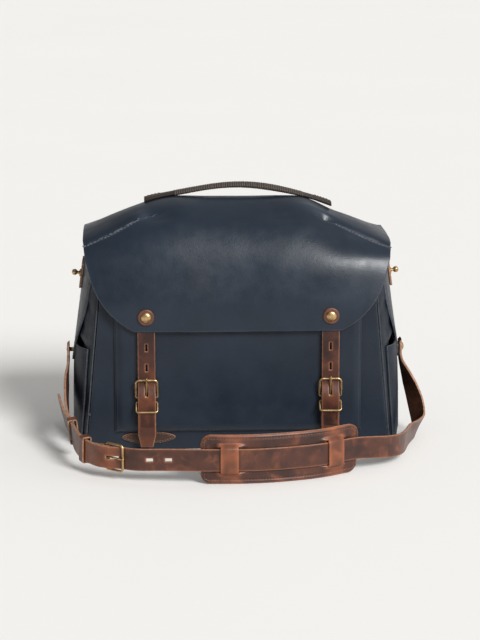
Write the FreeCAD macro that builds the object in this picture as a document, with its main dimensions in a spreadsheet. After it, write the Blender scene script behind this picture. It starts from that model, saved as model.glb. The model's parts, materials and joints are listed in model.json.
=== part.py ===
"""Messenger bag: a leather satchel with a drop flap, two buckled closures and a shoulder strap.

The bag stands on its base. +X is the end on the right of someone facing the flap, -Y is the front with the
flap, +Z is up, and the origin is the middle of the base. All sizes are millimetres.
"""
import FreeCAD, Part
import math
import os
import re

import Sketcher
from FreeCAD import Placement, Rotation, Vector

DIMENSIONS = {
    "leather": 2.5,
    "body_depth": 140.0,
    "base_width": 350.0,
    "front_top_width": 310.0,
    "front_height": 212.0,
    "back_top_width": 344.0,
    "back_height": 236.0,
    "ridge_height": 285.0,
    "ridge_width": 132.0,
    "shoulder_drop": 37.0,
    "flap_width": 355.0,
    "flap_hem_height": 142.5,
    "flap_face_y": 87.0,
    "hinge_y": -6.0,
    "board_thickness": 3.0,
    "pocket_width": 284.0,
    "pocket_bottom": 22.0,
    "pocket_top": 188.0,
    "pocket_room": 6.0,
    "side_pocket_height": 118.0,
    "side_pocket_half_depth": 58.0,
    "wing_top": 215.0,
    "wing_tip": 92.0,
    "wing_top_x": 173.5,
    "wing_tip_x": 190.3,
    "stud_height": 195.0,
    "stud_ball_radius": 3.5,
    "stud_post_radius": 1.75,
    "stud_reach": 10.4,
    "handle_y": 8.0,
    "handle_width": 18.0,
    "handle_top": 301.0,
    "handle_underside": 294.3,
    "handle_half_length": 112.0,
    "core_radius": 2.2,
    "closure_x": 105.5,
    "closure_width": 20.0,
    "closure_pivot_y": -83.4,
    "closure_pivot_z": 65.9,
    "rivet_height": 160.4,
    "rivet_radius": 6.0,
    "washer_radius": 9.5,
    "patch_height": 15.5,
    "snap_height": 12.0,
    "snap_face_y": 73.1,
    "anchor_height": 104.0,
    "anchor_x": 194.5,
    "anchor_back_x": 187.4,
    "strap_width": 25.0,
    "strap_thickness": 2.8,
    "pad_length": 187.0,
    "pad_width": 56.0,
}

doc = FreeCAD.newDocument("MessengerBag")
sheet = doc.addObject("Spreadsheet::Sheet", "Dims")
for row, (name, number) in enumerate(DIMENSIONS.items(), start=1):
    sheet.set(f"A{row}", name)
    sheet.set(f"B{row}", str(number))
    sheet.setAlias(f"B{row}", name)
doc.recompute()

NODES = []
SIDES = (("left", -1), ("right", 1))
TOUCH = 0.02


def dim(name):
    """A driving dimension, read from the sheet."""
    return float(sheet.get(name))


def formula(text):
    """Put the sheet's name in front of each dimension in a formula."""
    return re.sub("[a-z_]+", lambda word: f"Dims.{word.group()}", text)


def amount(text):
    """The value of a formula, as a plain number."""
    return float(sheet.evalExpression(formula(text)))


def node(part):
    """List a finished sub-part for export under its own label."""
    NODES.append(part)
    return part


def move(part, place, turn=None):
    """Turn a sub-part, and bind its position to three formulas."""
    if turn:
        part.Placement = Placement(Vector(), turn)
    for axis, text in zip("xyz", place):
        part.setExpression(f"Placement.Base.{axis}", formula(text))


def outline_sketch(body, plane, corners):
    """A closed outline of straight sides on an origin plane, with pairs of formulas for corners."""
    sketch = body.newObject("Sketcher::SketchObject", f"{body.Name}_outline")
    origin = [item for item in body.Origin.OriginFeatures if item.Role == plane][0]
    sketch.AttachmentSupport = (origin, [""])
    sketch.MapMode = "FlatFace"
    points = [Vector(amount(across), amount(up), 0) for across, up in corners]
    count = len(points)
    for index, point in enumerate(points):
        sketch.addGeometry(Part.LineSegment(point, points[(index + 1) % count]), False)
    for index in range(count):
        sketch.addConstraint(Sketcher.Constraint("Coincident", index, 2, (index + 1) % count, 1))
    for index, (across, up) in enumerate(corners):
        for kind, text, axis in (("DistanceX", across, -2), ("DistanceY", up, -1)):
            if abs(amount(text)) < 1e-6:
                sketch.addConstraint(Sketcher.Constraint("PointOnObject", index, 1, axis))
                continue
            row_number = sketch.addConstraint(
                Sketcher.Constraint(kind, -1, 1, index, 1, amount(text))
            )
            sketch.setExpression(f"Constraints[{row_number}]", formula(text))
    return sketch


def plate(label, plane, corners, thickness, place=("0", "0", "0"), turn=None):
    """A flat piece: an outline padded to a thickness."""
    body = doc.addObject("PartDesign::Body", label)
    sketch = outline_sketch(body, plane, corners)
    pad = body.newObject("PartDesign::Pad", f"{label}_pad")
    pad.Profile = sketch
    pad.setExpression("Length", formula(thickness))
    move(body, place, turn)
    return node(body)


def turned(label, profile):
    """A turned piece: a half profile of (radius, height) formulas, spun about the vertical axis."""
    body = doc.addObject("PartDesign::Body", label)
    sketch = outline_sketch(body, "XZ_Plane", profile)
    spin = body.newObject("PartDesign::Revolution", f"{label}_spin")
    spin.Profile = sketch
    spin.ReferenceAxis = (sketch, ["V_Axis"])
    spin.Angle = 360.0
    return node(body)


def box(label, low, size):
    """A block with its low corner and its size bound to formulas."""
    block = doc.addObject("Part::Box", label)
    for side, text in zip(("Length", "Width", "Height"), size):
        block.setExpression(side, formula(text))
    move(block, low)
    return block


def cut(label, base, tool):
    """One solid taken out of another."""
    result = doc.addObject("Part::Cut", label)
    result.Base = base
    result.Tool = tool
    return node(result)


def shaped(label, shape, place=None):
    """A sub-part whose shape is worked out below, with its placement."""
    part = doc.addObject("Part::Feature", label)
    part.Shape = shape
    if place:
        part.Placement = place * shape.Placement
    return node(part)


def thicken(line, thickness):
    """The outline of a band: a line of flat points, and the same line moved thickness to its left."""
    moved = []
    for index, (across, up) in enumerate(line):
        normals = []
        for start in (index - 1, index):
            if 0 <= start < len(line) - 1:
                run = (line[start + 1][0] - line[start][0], line[start + 1][1] - line[start][1])
                length = math.hypot(*run)
                normals.append((-run[1] / length, run[0] / length))
        first, last = normals[0], normals[-1]
        share = thickness / (1 + first[0] * last[0] + first[1] * last[1])
        moved.append((across + share * (first[0] + last[0]), up + share * (first[1] + last[1])))
    return list(line) + moved[::-1]


def loft(sections):
    """A solid with flat-sided skin through sections that have the same number of corners."""
    return Part.makeLoft([Part.makePolygon(list(s) + [s[0]]) for s in sections], True, True)


def prism(points, direction):
    """A closed outline pushed along a direction."""
    return Part.Face(Part.makePolygon(list(points) + [points[0]])).extrude(direction)


# ---------------------------------------------------------------- bag shell


def flat_panels():
    """Front, back and base panels with the board that stiffens the base."""
    front = [
        ("-base_width / 2", "0"),
        ("base_width / 2", "0"),
        ("front_top_width / 2", "front_height"),
        ("-front_top_width / 2", "front_height"),
    ]
    back = [
        ("-base_width / 2", "0"),
        ("base_width / 2", "0"),
        ("back_top_width / 2", "back_height"),
        ("-back_top_width / 2", "back_height"),
    ]
    plate("front_panel", "XZ_Plane", front, "leather", ("0", "leather - body_depth / 2", "0"))
    plate("back_panel", "XZ_Plane", back, "leather", ("0", "body_depth / 2", "0"))
    end, corner = "body_depth / 2 - leather", "body_depth / 4"
    wide, narrow = "base_width / 2 + 4", "base_width / 2 - 4"
    base = [
        (f"-({narrow})", f"-({end})"),
        (narrow, f"-({end})"),
        (wide, f"-({corner})"),
        (wide, corner),
        (narrow, end),
        (f"-({narrow})", end),
        (f"-({wide})", corner),
        (f"-({wide})", f"-({corner})"),
    ]
    plate("base_panel", "XY_Plane", base, "leather")
    board = box(
        "base_board",
        ("-base_width / 2 + 10", "-body_depth / 2 + 8", "leather"),
        ("base_width - 20", "body_depth - 16", "board_thickness"),
    )
    node(board)


# Height, then how far the middle of the gusset stands out, then the room behind the side pocket.
GUSSET_LEVELS = (
    (0.0, 184.0, 0.0),
    (15.0, 183.0, 4.0),
    (60.0, 179.0, 7.5),
    (90.0, 178.0, 7.7),
    (118.0, 176.5, 6.5),
    (170.0, 174.5, None),
    (215.0, 171.5, None),
    (245.0, 170.5, None),
)
GUSSET_STATIONS = (-67.5, -58.0, -40.0, -20.0, 0.0, 20.0, 40.0, 58.0, 67.5)


def gusset_x(level, middle, station):
    """How far the gusset stands out at a height and a depth: edge widths at the panels, a belly between."""
    top, height = ("front_top_width", "front_height") if station < 0 else ("back_top_width", "back_height")
    edge = (dim("base_width") + (dim(top) - dim("base_width")) * level / dim(height)) / 2
    reach = abs(station) / (dim("body_depth") / 2 - dim("leather"))
    return edge + (middle - edge) * (1 - reach**3)


# Depth and height of the gusset's top edge, just under the roof's shoulder.
GUSSET_TOP = (
    (-80.0, 222.0),
    (-67.5, 227.5),
    (-60.0, 232.0),
    (-45.0, 237.3),
    (-27.0, 242.3),
    (0.0, 244.6),
    (22.0, 243.4),
    (42.0, 241.2),
    (60.0, 238.3),
    (67.5, 235.0),
    (80.0, 230.0),
)


def gusset():
    """The right gusset, a side wall with a belly, whose top edge follows the roof."""
    sections = []
    for level, middle, _ in GUSSET_LEVELS:
        line = [(gusset_x(level, middle, y), y) for y in GUSSET_STATIONS]
        sections.append([Vector(x, y, level) for x, y in thicken(line, dim("leather"))])
    outline = [(80.0, -10.0), (-80.0, -10.0)] + list(GUSSET_TOP)
    return loft(sections).common(prism([Vector(100, y, z) for y, z in outline], Vector(150, 0, 0)))


def side_pocket():
    """The right side pocket, sewn to the gusset along its edges and standing off at its mouth."""
    half = dim("side_pocket_half_depth")
    sections = []
    for level, middle, room in GUSSET_LEVELS:
        if room is None:
            continue
        line = []
        for y in GUSSET_STATIONS[1:-1]:
            belly = room * (1 - (abs(y) / half) ** 3)
            line.append((gusset_x(level, middle, y) + TOUCH + belly, y))
        sections.append([Vector(x, y, level) for x, y in thicken(line, -dim("leather"))])
    return loft(sections)


def mirrored(shape, side):
    """The shape as it is on the right, or mirrored to the left."""
    return shape if side > 0 else shape.mirror(Vector(), Vector(1, 0, 0))


def side_walls():
    """Both gussets and both side pockets."""
    for word, side in SIDES:
        shaped(f"{word}_gusset", mirrored(gusset(), side))
        shaped(f"{word}_side_pocket", mirrored(side_pocket(), side))


def ridge(x):
    """Height of the roof's ridge: level over the middle, and dropping towards the shoulders."""
    flat = dim("ridge_width") / 2
    if abs(x) <= flat:
        return dim("ridge_height")
    share = (abs(x) - flat) / (dim("flap_width") / 2 - flat)
    return dim("ridge_height") - dim("shoulder_drop") * share**1.6


# Depth and height of the outer skin at the middle of the bag, from the roof crease down.
FLAP_SECTION = (
    (-6.5, 285.0),
    (-15.0, 284.3),
    (-27.0, 279.0),
    (-45.0, 268.0),
    (-60.0, 252.5),
    (-71.0, 233.0),
    (-78.5, 211.0),
    (-83.5, 190.0),
    (-87.0, 168.0),
    (-87.0, 142.5),
)
YOKE_SECTION = (
    (70.0, 236.1),
    (70.0, 241.0),
    (68.0, 249.0),
    (60.0, 260.0),
    (42.0, 271.5),
    (22.0, 280.0),
    (6.0, 284.7),
    (-5.9, 285.0),
)


def roof_shell(section, foot, thickness):
    """A skin that follows the section and drops with the ridge towards both shoulders."""
    half = dim("flap_width") / 2
    sections = []
    for x in (-half, -150, -121, -94, -66, 0, 66, 94, 121, 150, half):
        scale = (ridge(x) - foot) / (dim("ridge_height") - foot)
        line = [(y, z if z <= foot else foot + (z - foot) * scale) for y, z in section]
        sections.append([Vector(x, y, z) for y, z in thicken(line, thickness)])
    return loft(sections)


def flap_outline():
    """The front view of the flap: straight hem, large round corners and sides that lean in."""
    half, hem = dim("flap_width") / 2, dim("flap_hem_height")
    corner = ((118.0, hem), (153.0, hem + 28.0), (170.0, hem + 64.5))
    right = [Vector(x, -150, z) for x, z in corner]
    left = [Vector(-x, -150, z) for x, z in corner]
    shoulder = [Vector(side * (half + 1), -150, hem + 102) for side in (1, -1)]
    crown = [Vector(side * (half + 1), -150, dim("ridge_height") + 20) for side in (1, -1)]
    edges = [
        Part.LineSegment(left[0], right[0]).toShape(),
        Part.Arc(*right).toShape(),
        Part.LineSegment(right[2], shoulder[0]).toShape(),
        Part.LineSegment(shoulder[0], crown[0]).toShape(),
        Part.LineSegment(crown[0], crown[1]).toShape(),
        Part.LineSegment(crown[1], shoulder[1]).toShape(),
        Part.LineSegment(shoulder[1], left[2]).toShape(),
        Part.Arc(left[2], left[1], left[0]).toShape(),
    ]
    return Part.Face(Part.Wire(edges)).extrude(Vector(0, 150, 0))


def roof():
    """The yoke, fixed behind the crease, and the flap in front of it."""
    shaped("yoke", roof_shell(YOKE_SECTION, dim("back_height"), dim("leather")))
    skin = roof_shell(FLAP_SECTION, 228.0, dim("leather"))
    flap = skin.common(flap_outline()).Solids[0]
    for _, side in SIDES:
        rivet = Vector(side * dim("closure_x"), -100, dim("rivet_height"))
        flap = flap.cut(Part.makeCylinder(2.0, 40, rivet, Vector(0, 1, 0)))
    shaped("flap_panel", flap)


def front_pocket():
    """The patch pocket: a face plate with a turned edge on three sides."""
    outer = box(
        "pocket_block",
        ("-pocket_width / 2", "-body_depth / 2 - pocket_room - leather", "pocket_bottom"),
        ("pocket_width", "pocket_room + leather", "pocket_top - pocket_bottom"),
    )
    room = box(
        "pocket_room_block",
        ("-pocket_width / 2 + leather", "-body_depth / 2 - pocket_room", "pocket_bottom + leather"),
        ("pocket_width - 2 * leather", "pocket_room + 1", "pocket_top - pocket_bottom"),
    )
    cut("front_pocket", outer, room)


# ---------------------------------------------------------------- side fittings


def wing_frame(side, height):
    """Placement on the outer face of a side wing: local X points out of the face and local Z up it."""
    drop = dim("wing_top") - dim("wing_tip")
    lean = math.degrees(math.atan2(dim("wing_tip_x") - dim("wing_top_x"), drop))
    share = (dim("wing_top") - height) / drop
    x = dim("wing_top_x") + share * (dim("wing_tip_x") - dim("wing_top_x"))
    turn = Rotation(Vector(0, 1, 0), -lean)
    if side < 0:
        turn = Rotation(Vector(0, 1, 0), lean) * Rotation(Vector(0, 0, 1), 180)
    return Placement(Vector(side * x, 0, height), turn)


def side_fittings():
    """Wings, stud tabs, ball studs and the rivets that carry the shoulder strap."""
    thick = dim("leather")
    bore = dim("stud_post_radius") + 0.03
    for word, side in SIDES:
        low = dim("wing_tip") - dim("stud_height")
        high = dim("wing_top") - dim("stud_height")
        edge = ((6, low), (13, low + 10), (47, -30), (52, high))
        outline = [(-y, z) for y, z in edge[::-1]] + list(edge)
        wing = prism([Vector(0, y, z) for y, z in outline], Vector(thick, 0, 0))
        corners = ((-14, -16), (14, -16), (14, 18), (-14, 18))
        tab = prism([Vector(thick, y, z) for y, z in corners], Vector(thick, 0, 0))
        hole = Part.makeCylinder(bore, 20, Vector(-5, 0, 0), Vector(1, 0, 0))
        spot = wing_frame(side, dim("stud_height"))
        anchor = wing_frame(side, dim("stud_height")).inverse().multVec(
            Vector(side * dim("anchor_x"), 0, dim("anchor_height"))
        )
        direction = spot.Rotation.inverted().multVec(Vector(side, 0, 0))
        rivet_hole = Part.makeCylinder(2.53, 40, anchor - direction * 20, direction)
        shaped(f"{word}_side_wing", wing.cut(hole).cut(rivet_hole), spot)
        shaped(f"{word}_stud_tab", tab.cut(hole), spot)
        quarter = Rotation(Vector(0, 1, 0), 90)
        stud = turned(
            f"{word}_stud",
            [
                ("0", "-0.9"),
                ("6", "-0.9"),
                ("6", "0"),
                ("stud_post_radius", "0"),
                ("stud_post_radius", "2 * leather"),
                ("4.5", "2 * leather"),
                ("4.5", "2 * leather + 1.2"),
                ("stud_post_radius", "2 * leather + 2.2"),
                ("stud_post_radius", "2 * leather + stud_reach - 6.2"),
                ("stud_ball_radius", "2 * leather + stud_reach - 4.8"),
                ("stud_ball_radius", "2 * leather + stud_reach - 1.8"),
                ("stud_ball_radius - 1.6", "2 * leather + stud_reach"),
                ("0", "2 * leather + stud_reach"),
            ],
        )
        stud.Placement = spot * Placement(Vector(), quarter)
        reach = "anchor_x + strap_thickness / 2 - anchor_back_x"
        rivet = turned(
            f"{word}_anchor_rivet",
            [
                ("0", "0"),
                ("4", "0"),
                ("4", "0.8"),
                ("2.5", "0.8"),
                ("2.5", f"{reach} + 0.5"),
                ("5.5", f"{reach} + 0.5"),
                ("5.5", f"{reach} + 1.3"),
                ("3.5", f"{reach} + 2.6"),
                ("0", f"{reach} + 3.0"),
            ],
        )
        move(rivet, (f"{side} * anchor_back_x", "0", "anchor_height"), Rotation(Vector(0, 1, 0), 90 * side))


# ---------------------------------------------------------------- handle


def arc_edge(side_x, end_z, middle_z, y):
    """A shallow arc over the middle of the bag."""
    ends = Vector(-side_x, y, end_z), Vector(side_x, y, end_z)
    return Part.Arc(ends[0], Vector(0, y, middle_z), ends[1]).toShape()


def handle():
    """The arched handle: a leather cover sewn round a core, with feet that lie on the roof."""
    y = dim("handle_y") - dim("handle_width") / 2
    reach = dim("handle_half_length")
    inner = arc_edge(94.0, 281.4, dim("handle_underside"), y)
    outer = arc_edge(reach - 3, 281.5, dim("handle_top"), y)
    feet = []
    for side in (-1, 1):
        points = [
            Vector(side * 94.0, y, 281.4),
            Vector(side * reach, y, 276.3),
            Vector(side * reach, y, 279.0),
            Vector(side * (reach - 3), y, 281.5),
        ]
        feet += [Part.LineSegment(a, b).toShape() for a, b in zip(points, points[1:])]
    edges = Part.__sortEdges__([inner, outer] + feet)
    cover = Part.Face(Part.Wire(edges)).extrude(Vector(0, dim("handle_width"), 0))
    middle = (dim("handle_top") + dim("handle_underside")) / 2
    spine = arc_edge(88.0, middle - 12.2, middle, dim("handle_y"))
    start = spine.valueAt(spine.FirstParameter)
    tangent = spine.tangentAt(spine.FirstParameter)
    pipes = []
    for radius in (dim("core_radius"), dim("core_radius") + TOUCH):
        ring = Part.Wire(Part.makeCircle(radius, start, tangent))
        pipes.append(Part.Wire(spine).makePipeShell([ring], True, True))
    shaped("handle_cover", cover.cut(pipes[1]))
    shaped("handle_core", pipes[0])


# ---------------------------------------------------------------- buckles
# A buckle is drawn about its pivot bar. Local X runs along the bar, local Z along the strap towards the far
# bar, and local -Y points out of the strap's face; "out" below is a distance along local -Y.


def band(line, thickness, half_width):
    """A strip of leather seen from its edge: (along, out) points thickened outwards, pushed across it."""
    outline = [Vector(-half_width, -out, along) for along, out in thicken(line, thickness)]
    return prism(outline, Vector(2 * half_width, 0, 0))


def across(radius, along, out, half_width):
    """A round bar or hole that lies across the strap."""
    return Part.makeCylinder(radius, 2 * half_width, Vector(-half_width, -out, along), Vector(1, 0, 0))


def slab(half_width, low, high):
    """A block across the strap between two (along, out) corners."""
    size = (high[0] - low[0], high[1] - low[1])
    return Part.makeBox(2 * half_width, size[1], size[0], Vector(-half_width, -high[1], low[0]))


def wire_loop(half_width, start, finish, wire_radius, near_corner, far_corner):
    """A closed loop of round wire between two bars, each given by its (along, out) place."""
    length = math.hypot(finish[0] - start[0], finish[1] - start[1])
    near, far = near_corner, far_corner
    bend = 1 - math.sqrt(0.5)
    places = [
        (-half_width + near, 0, half_width - near, 0),
        (half_width, near, half_width, length - far),
        (half_width - far, length, -half_width + far, length),
        (-half_width, length - far, -half_width, near),
    ]
    bends = [
        (half_width - near * bend, near * bend),
        (half_width - far * bend, length - far * bend),
        (-half_width + far * bend, length - far * bend),
        (-half_width + near * bend, near * bend),
    ]
    edges = []
    for index, (x1, z1, x2, z2) in enumerate(places):
        after = places[(index + 1) % 4]
        corner = bends[index]
        edges.append(Part.LineSegment(Vector(x1, 0, z1), Vector(x2, 0, z2)).toShape())
        arc = Part.Arc(Vector(x2, 0, z2), Vector(corner[0], 0, corner[1]), Vector(after[0], 0, after[1]))
        edges.append(arc.toShape())
    section = Part.Wire(Part.makeCircle(wire_radius, Vector(0, 0, 0), Vector(1, 0, 0)))
    section.translate(Vector(places[0][0], 0, 0))
    loop = Part.Wire(edges).makePipeShell([section], True, True)
    lean = math.atan2(finish[1] - start[1], finish[0] - start[0])
    loop.rotate(Vector(), Vector(1, 0, 0), math.degrees(lean))
    loop.translate(Vector(0, -start[1], start[0]))
    return loop


def tongue(bar_radius, reach, tip_out, pin_radius):
    """The buckle's prong: an eye round the pivot bar and a pin that rests on the far bar."""
    root = Vector(0, -1.7, 1.6)
    tip = Vector(0, -tip_out, reach)
    pin = Part.makeCylinder(pin_radius, (tip - root).Length, root, tip - root)
    pin = pin.fuse(Part.makeSphere(pin_radius, tip))
    eye = across(bar_radius + 1.2, 0, 0, 2.0)
    return eye.fuse(pin).removeSplitter().cut(across(bar_radius + 0.1, 0, 0, 5))


def closure_tab():
    """The lower half of a closure: leather wrapped round the pivot bar, running down to the press stud."""
    half = dim("closure_width") / 2 + 0.4
    strip = band([(-60, -6.8), (-49, -6.8), (-41.5, -2.2), (-1.5, -2.2)], 3.5, half)
    eye = across(3.2, 0, 0, half)
    outline = [(-half, 6), (-half, -45), (-7, -60), (7, -60), (half, -45), (half, 6)]
    shape = prism([Vector(x, 20, z) for x, z in outline], Vector(0, -40, 0))
    tab = strip.fuse(eye).removeSplitter().common(shape)
    for hole in (across(1.4, 0, 0, 20), slab(2.4, (-3.4, -5), (5, 5)), across(1.2, -6.2, -0.45, 20)):
        tab = tab.cut(hole)
    return tab


def closure_strap():
    """The upper half: from its rivet down, behind the far bar, over the pivot and under the keeper."""
    line = [(-59.5, -1.6), (-50, -1.6), (-41.5, 3.6), (3.5, 3.6), (17, -1.4), (101.6, -1.4)]
    strap = band(line, dim("leather"), dim("closure_width") / 2)
    slots = [(8.1, 14.4), (34.7, 9.0), (58.3, 9.0)]
    for along, length in slots:
        strap = strap.cut(slab(1.75, (along - length / 2, -6), (along + length / 2, 10)))
    rivet = dim("rivet_height") - dim("closure_pivot_z")
    strap = strap.cut(Part.makeCylinder(2.0, 20, Vector(0, -10, rivet), Vector(0, 1, 0)))
    half = dim("closure_width") / 2
    outline = [(-half, 110), (-half, -45), (-7, -59.5), (7, -59.5), (half, -45), (half, 110)]
    return strap.common(prism([Vector(x, 20, z) for x, z in outline], Vector(0, -40, 0)))


def closures():
    """Both front closures with their rivets, press studs and anchor patches."""
    y, z = dim("closure_pivot_y"), dim("closure_pivot_z")
    outward = Rotation(Vector(1, 0, 0), 90)
    for word, side in SIDES:
        x = side * dim("closure_x")
        place = Placement(Vector(x, y, z), Rotation())
        shaped(f"{word}_closure_strap", closure_strap(), place)
        shaped(f"{word}_buckle_tab", closure_tab(), place)
        shaped(f"{word}_buckle_frame", wire_loop(12.3, (0, 0), (20.5, 2.7), 1.3, 1.7, 4.0), place)
        shaped(f"{word}_buckle_tongue", tongue(1.3, 22.5, 5.75, 1.1), place)
        shaped(f"{word}_wire_keeper", wire_loop(12.2, (-6.2, -0.45), (-16.0, 7.7), 1.1, 1.6, 2.6), place)
        washer = turned(
            f"{word}_rivet_washer",
            [
                ("2", "0"),
                ("washer_radius", "0"),
                ("washer_radius", "1.4"),
                ("washer_radius - 1", "2"),
                ("2", "2"),
            ],
        )
        rivet = turned(
            f"{word}_flap_rivet",
            [
                ("0", "-5.6"),
                ("5", "-5.6"),
                ("5", "-5"),
                ("1.98", "-5"),
                ("1.98", "2"),
                ("rivet_radius", "2"),
                ("rivet_radius - 0.6", "3.4"),
                ("rivet_radius - 2.8", "4.6"),
                ("0", "5"),
            ],
        )
        for part in (washer, rivet):
            move(part, (f"{x}", "-flap_face_y", "rivet_height"), outward)
        front = -dim("body_depth") / 2
        ends = [Vector(x - side * 2 + step * 31, front, dim("patch_height")) for step in (-1, 1)]
        top = Vector(x - side * 2, front, dim("patch_height") + 6.2)
        low = Vector(x - side * 2, front, dim("patch_height") - 7.5)
        arcs = [Part.Arc(ends[0], top, ends[1]).toShape(), Part.Arc(ends[1], low, ends[0]).toShape()]
        lens = Part.Face(Part.Wire(arcs))
        shaped(f"{word}_anchor_patch", lens.extrude(Vector(0, -dim("leather"), 0)))
        post = turned(
            f"{word}_snap_post",
            [
                ("0", "leather"),
                ("2.5", "leather"),
                ("2.5", "2 * leather - 0.6"),
                ("1.9", "2 * leather"),
                ("0", "2 * leather"),
            ],
        )
        move(post, (f"{x}", "-body_depth / 2", "snap_height"), outward)
        socket = turned(f"{word}_snap_socket", [("3.6", "0"), ("5", "0"), ("5", "3.5"), ("3.6", "3.5")])
        move(socket, (f"{x}", "-snap_face_y", "snap_height"), outward)


# ---------------------------------------------------------------- shoulder strap
# The strap lies round the front of the bag. Each row is a point on its middle line and the direction from its
# lower edge to its upper edge. The first and last rows lead past the anchor rivets, which are the rows beside
# them, and the two routes meet in the straight stretch at the buckle, whose pivot is strap distance 0.

UP = Vector(0, 0, 1)
PIVOT = Vector(-150, -187, 26.5)
HEADING = Vector(0.860, -0.510, 0).normalize()
STRAIGHT = (-5.0, 30.0)
LEFT_ROUTE = (
    (-194.5, 2, 111, 0, -0.95, 0.3),
    (-194.5, 0, 104, 0, -0.95, 0.3),
    (-194.5, -2.5, 96, 0, -0.95, 0.3),
    (-195.3, -8.5, 82, 0, -0.9, 0.4),
    (-196.3, -18, 71, -0.1, -0.8, 0.5),
    (-196.5, -35, 60, -0.1, -0.75, 0.6),
    (-194.5, -65, 43, -0.1, -0.5, 0.8),
    (-188.5, -98, 33, -0.1, -0.2, 0.95),
    (-182.8, -130, 30, 0, 0, 1),
    (-174.0, -158, 27.5, 0, 0, 1),
)
RIGHT_ROUTE = (
    (-95, -209.5, 27.5, 0, 0, 1),
    (-60, -214.5, 28.2, 0, 0, 1),
    (-20, -217, 28.2, 0, 0, 1),
    (20, -215.5, 28.2, 0, 0, 1),
    (60, -207, 28.2, 0, 0, 1),
    (95, -193.5, 28.2, 0, 0, 1),
    (128, -174, 28.2, 0, 0, 1),
    (158, -158.5, 25, 0, 0, 1),
    (181, -134, 21, 0, 0, 1),
    (197, -85, 19, 0.1, -0.05, 1),
    (211, -48, 16.5, 0.25, -0.3, 0.9),
    (216, -18, 22, 0.5, -0.6, 0.6),
    (213, -4, 40, 0.64, -0.77, 0.1),
    (207.5, 0, 58, 0.55, -0.8, 0),
    (201, 1, 76, 0.3, -0.93, 0),
    (196, 0.5, 90, 0.05, -1, 0),
    (194.5, 0, 98, 0, -1, 0),
    (194.5, 0, 104, 0, -1, 0),
    (194.5, 0, 111, 0, -1, 0),
)


def straight_point(distance):
    """A point on the straight stretch at the buckle."""
    return PIVOT + HEADING * distance


def route_curve(rows):
    """A smooth curve through the rows' points, with the distance along it at which it reaches each row."""
    points = [Vector(*row[:3]) for row in rows]
    spline = Part.BSplineCurve()
    spline.interpolate(Points=points)
    start = spline.FirstParameter
    return spline, [spline.length(start, spline.parameter(point)) for point in points]


def straight_rows(distances):
    """Rows on the straight stretch, which lead the curves on either side into it."""
    return tuple((*straight_point(distance), 0, 0, 1) for distance in distances)


LEAD = 10.0
LEFT_ROWS = LEFT_ROUTE + straight_rows(STRAIGHT[0] + LEAD * step for step in (0, 1, 2))
RIGHT_ROWS = straight_rows(STRAIGHT[1] + LEAD * step for step in (-2, -1, 0)) + RIGHT_ROUTE
LEFT_CURVE, LEFT_REACHED = route_curve(LEFT_ROWS)
RIGHT_CURVE, RIGHT_REACHED = route_curve(RIGHT_ROWS)
LEFT_START = STRAIGHT[0] - LEFT_REACHED[-3]
LEFT_END = LEFT_START + LEFT_REACHED[1]
RIGHT_START = STRAIGHT[1] - RIGHT_REACHED[2]
RIGHT_END = RIGHT_START + RIGHT_REACHED[-2]


def strap_frame(distance):
    """Middle point, heading, upward width direction and outward normal of the strap at a distance."""
    if STRAIGHT[0] <= distance <= STRAIGHT[1]:
        point, heading, width = straight_point(distance), HEADING, UP
    else:
        left = distance < STRAIGHT[0]
        curve, reached, rows = LEFT_CURVE, LEFT_REACHED, LEFT_ROWS
        if not left:
            curve, reached, rows = RIGHT_CURVE, RIGHT_REACHED, RIGHT_ROWS
        travelled = distance - (LEFT_START if left else RIGHT_START)
        travelled = min(max(travelled, 0.0), reached[-1])
        here = curve.parameterAtDistance(travelled, curve.FirstParameter)
        point, heading = curve.value(here), curve.tangent(here)[0]
        index = max(i for i in range(len(reached) - 1) if reached[i] <= travelled + 1e-6)
        share = (travelled - reached[index]) / (reached[index + 1] - reached[index])
        width = Vector(*rows[index][3:]) * (1 - share) + Vector(*rows[index + 1][3:]) * share
    width = (width - heading * width.dot(heading)).normalize()
    return point, heading, width, heading.cross(width)


def stations(first, last, fixed=(), step=9.0):
    """Even distances along the strap, giving way to the fixed ones and the ends of the straight stretch."""
    held = {first, last, *fixed}
    held.update(mark for mark in STRAIGHT if first < mark < last)
    count = max(1, round((last - first) / step))
    even = [first + (last - first) * index / count for index in range(1, count)]
    return sorted(held | {mark for mark in even if min(abs(mark - other) for other in held) > 2.0})


def ribbon(marks, low, high, inner, outer):
    """A strip along the strap's route, between two heights across it and two distances out of its face."""
    sections = []
    for mark in marks:
        point, _, width, out = strap_frame(mark)
        shift = (inner(mark), outer(mark)) if callable(inner) else (inner, outer)
        corners = ((low, shift[0]), (high, shift[0]), (high, shift[1]), (low, shift[1]))
        sections.append([point + width * a + out * b for a, b in corners])
    return loft(sections)


def local_block(distance, half_length, low, high, inner, outer):
    """A straight block in the strap's own frame at a distance."""
    point, heading, width, out = strap_frame(distance)
    start = point - heading * half_length + width * low + out * inner
    corners = [start, start + width * (high - low), start + width * (high - low) + out * (outer - inner),
               start + out * (outer - inner)]
    return prism(corners, heading * (2 * half_length))


def rivet_end(side):
    """The round end of the strap at an anchor rivet, a little fuller than the strap it closes."""
    fuller = 0.2
    thick = dim("strap_thickness") + 2 * fuller
    start = Vector(side * (dim("anchor_x") - thick / 2), 0, dim("anchor_height"))
    return Part.makeCylinder(dim("strap_width") / 2 + 2 * fuller, thick, start, Vector(side, 0, 0))


def rivet_bore(side):
    """The hole that the anchor rivet passes through."""
    start = Vector(side * (dim("anchor_x") - 10), 0, dim("anchor_height"))
    return Part.makeCylinder(2.55, 20, start, Vector(side, 0, 0))


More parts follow.
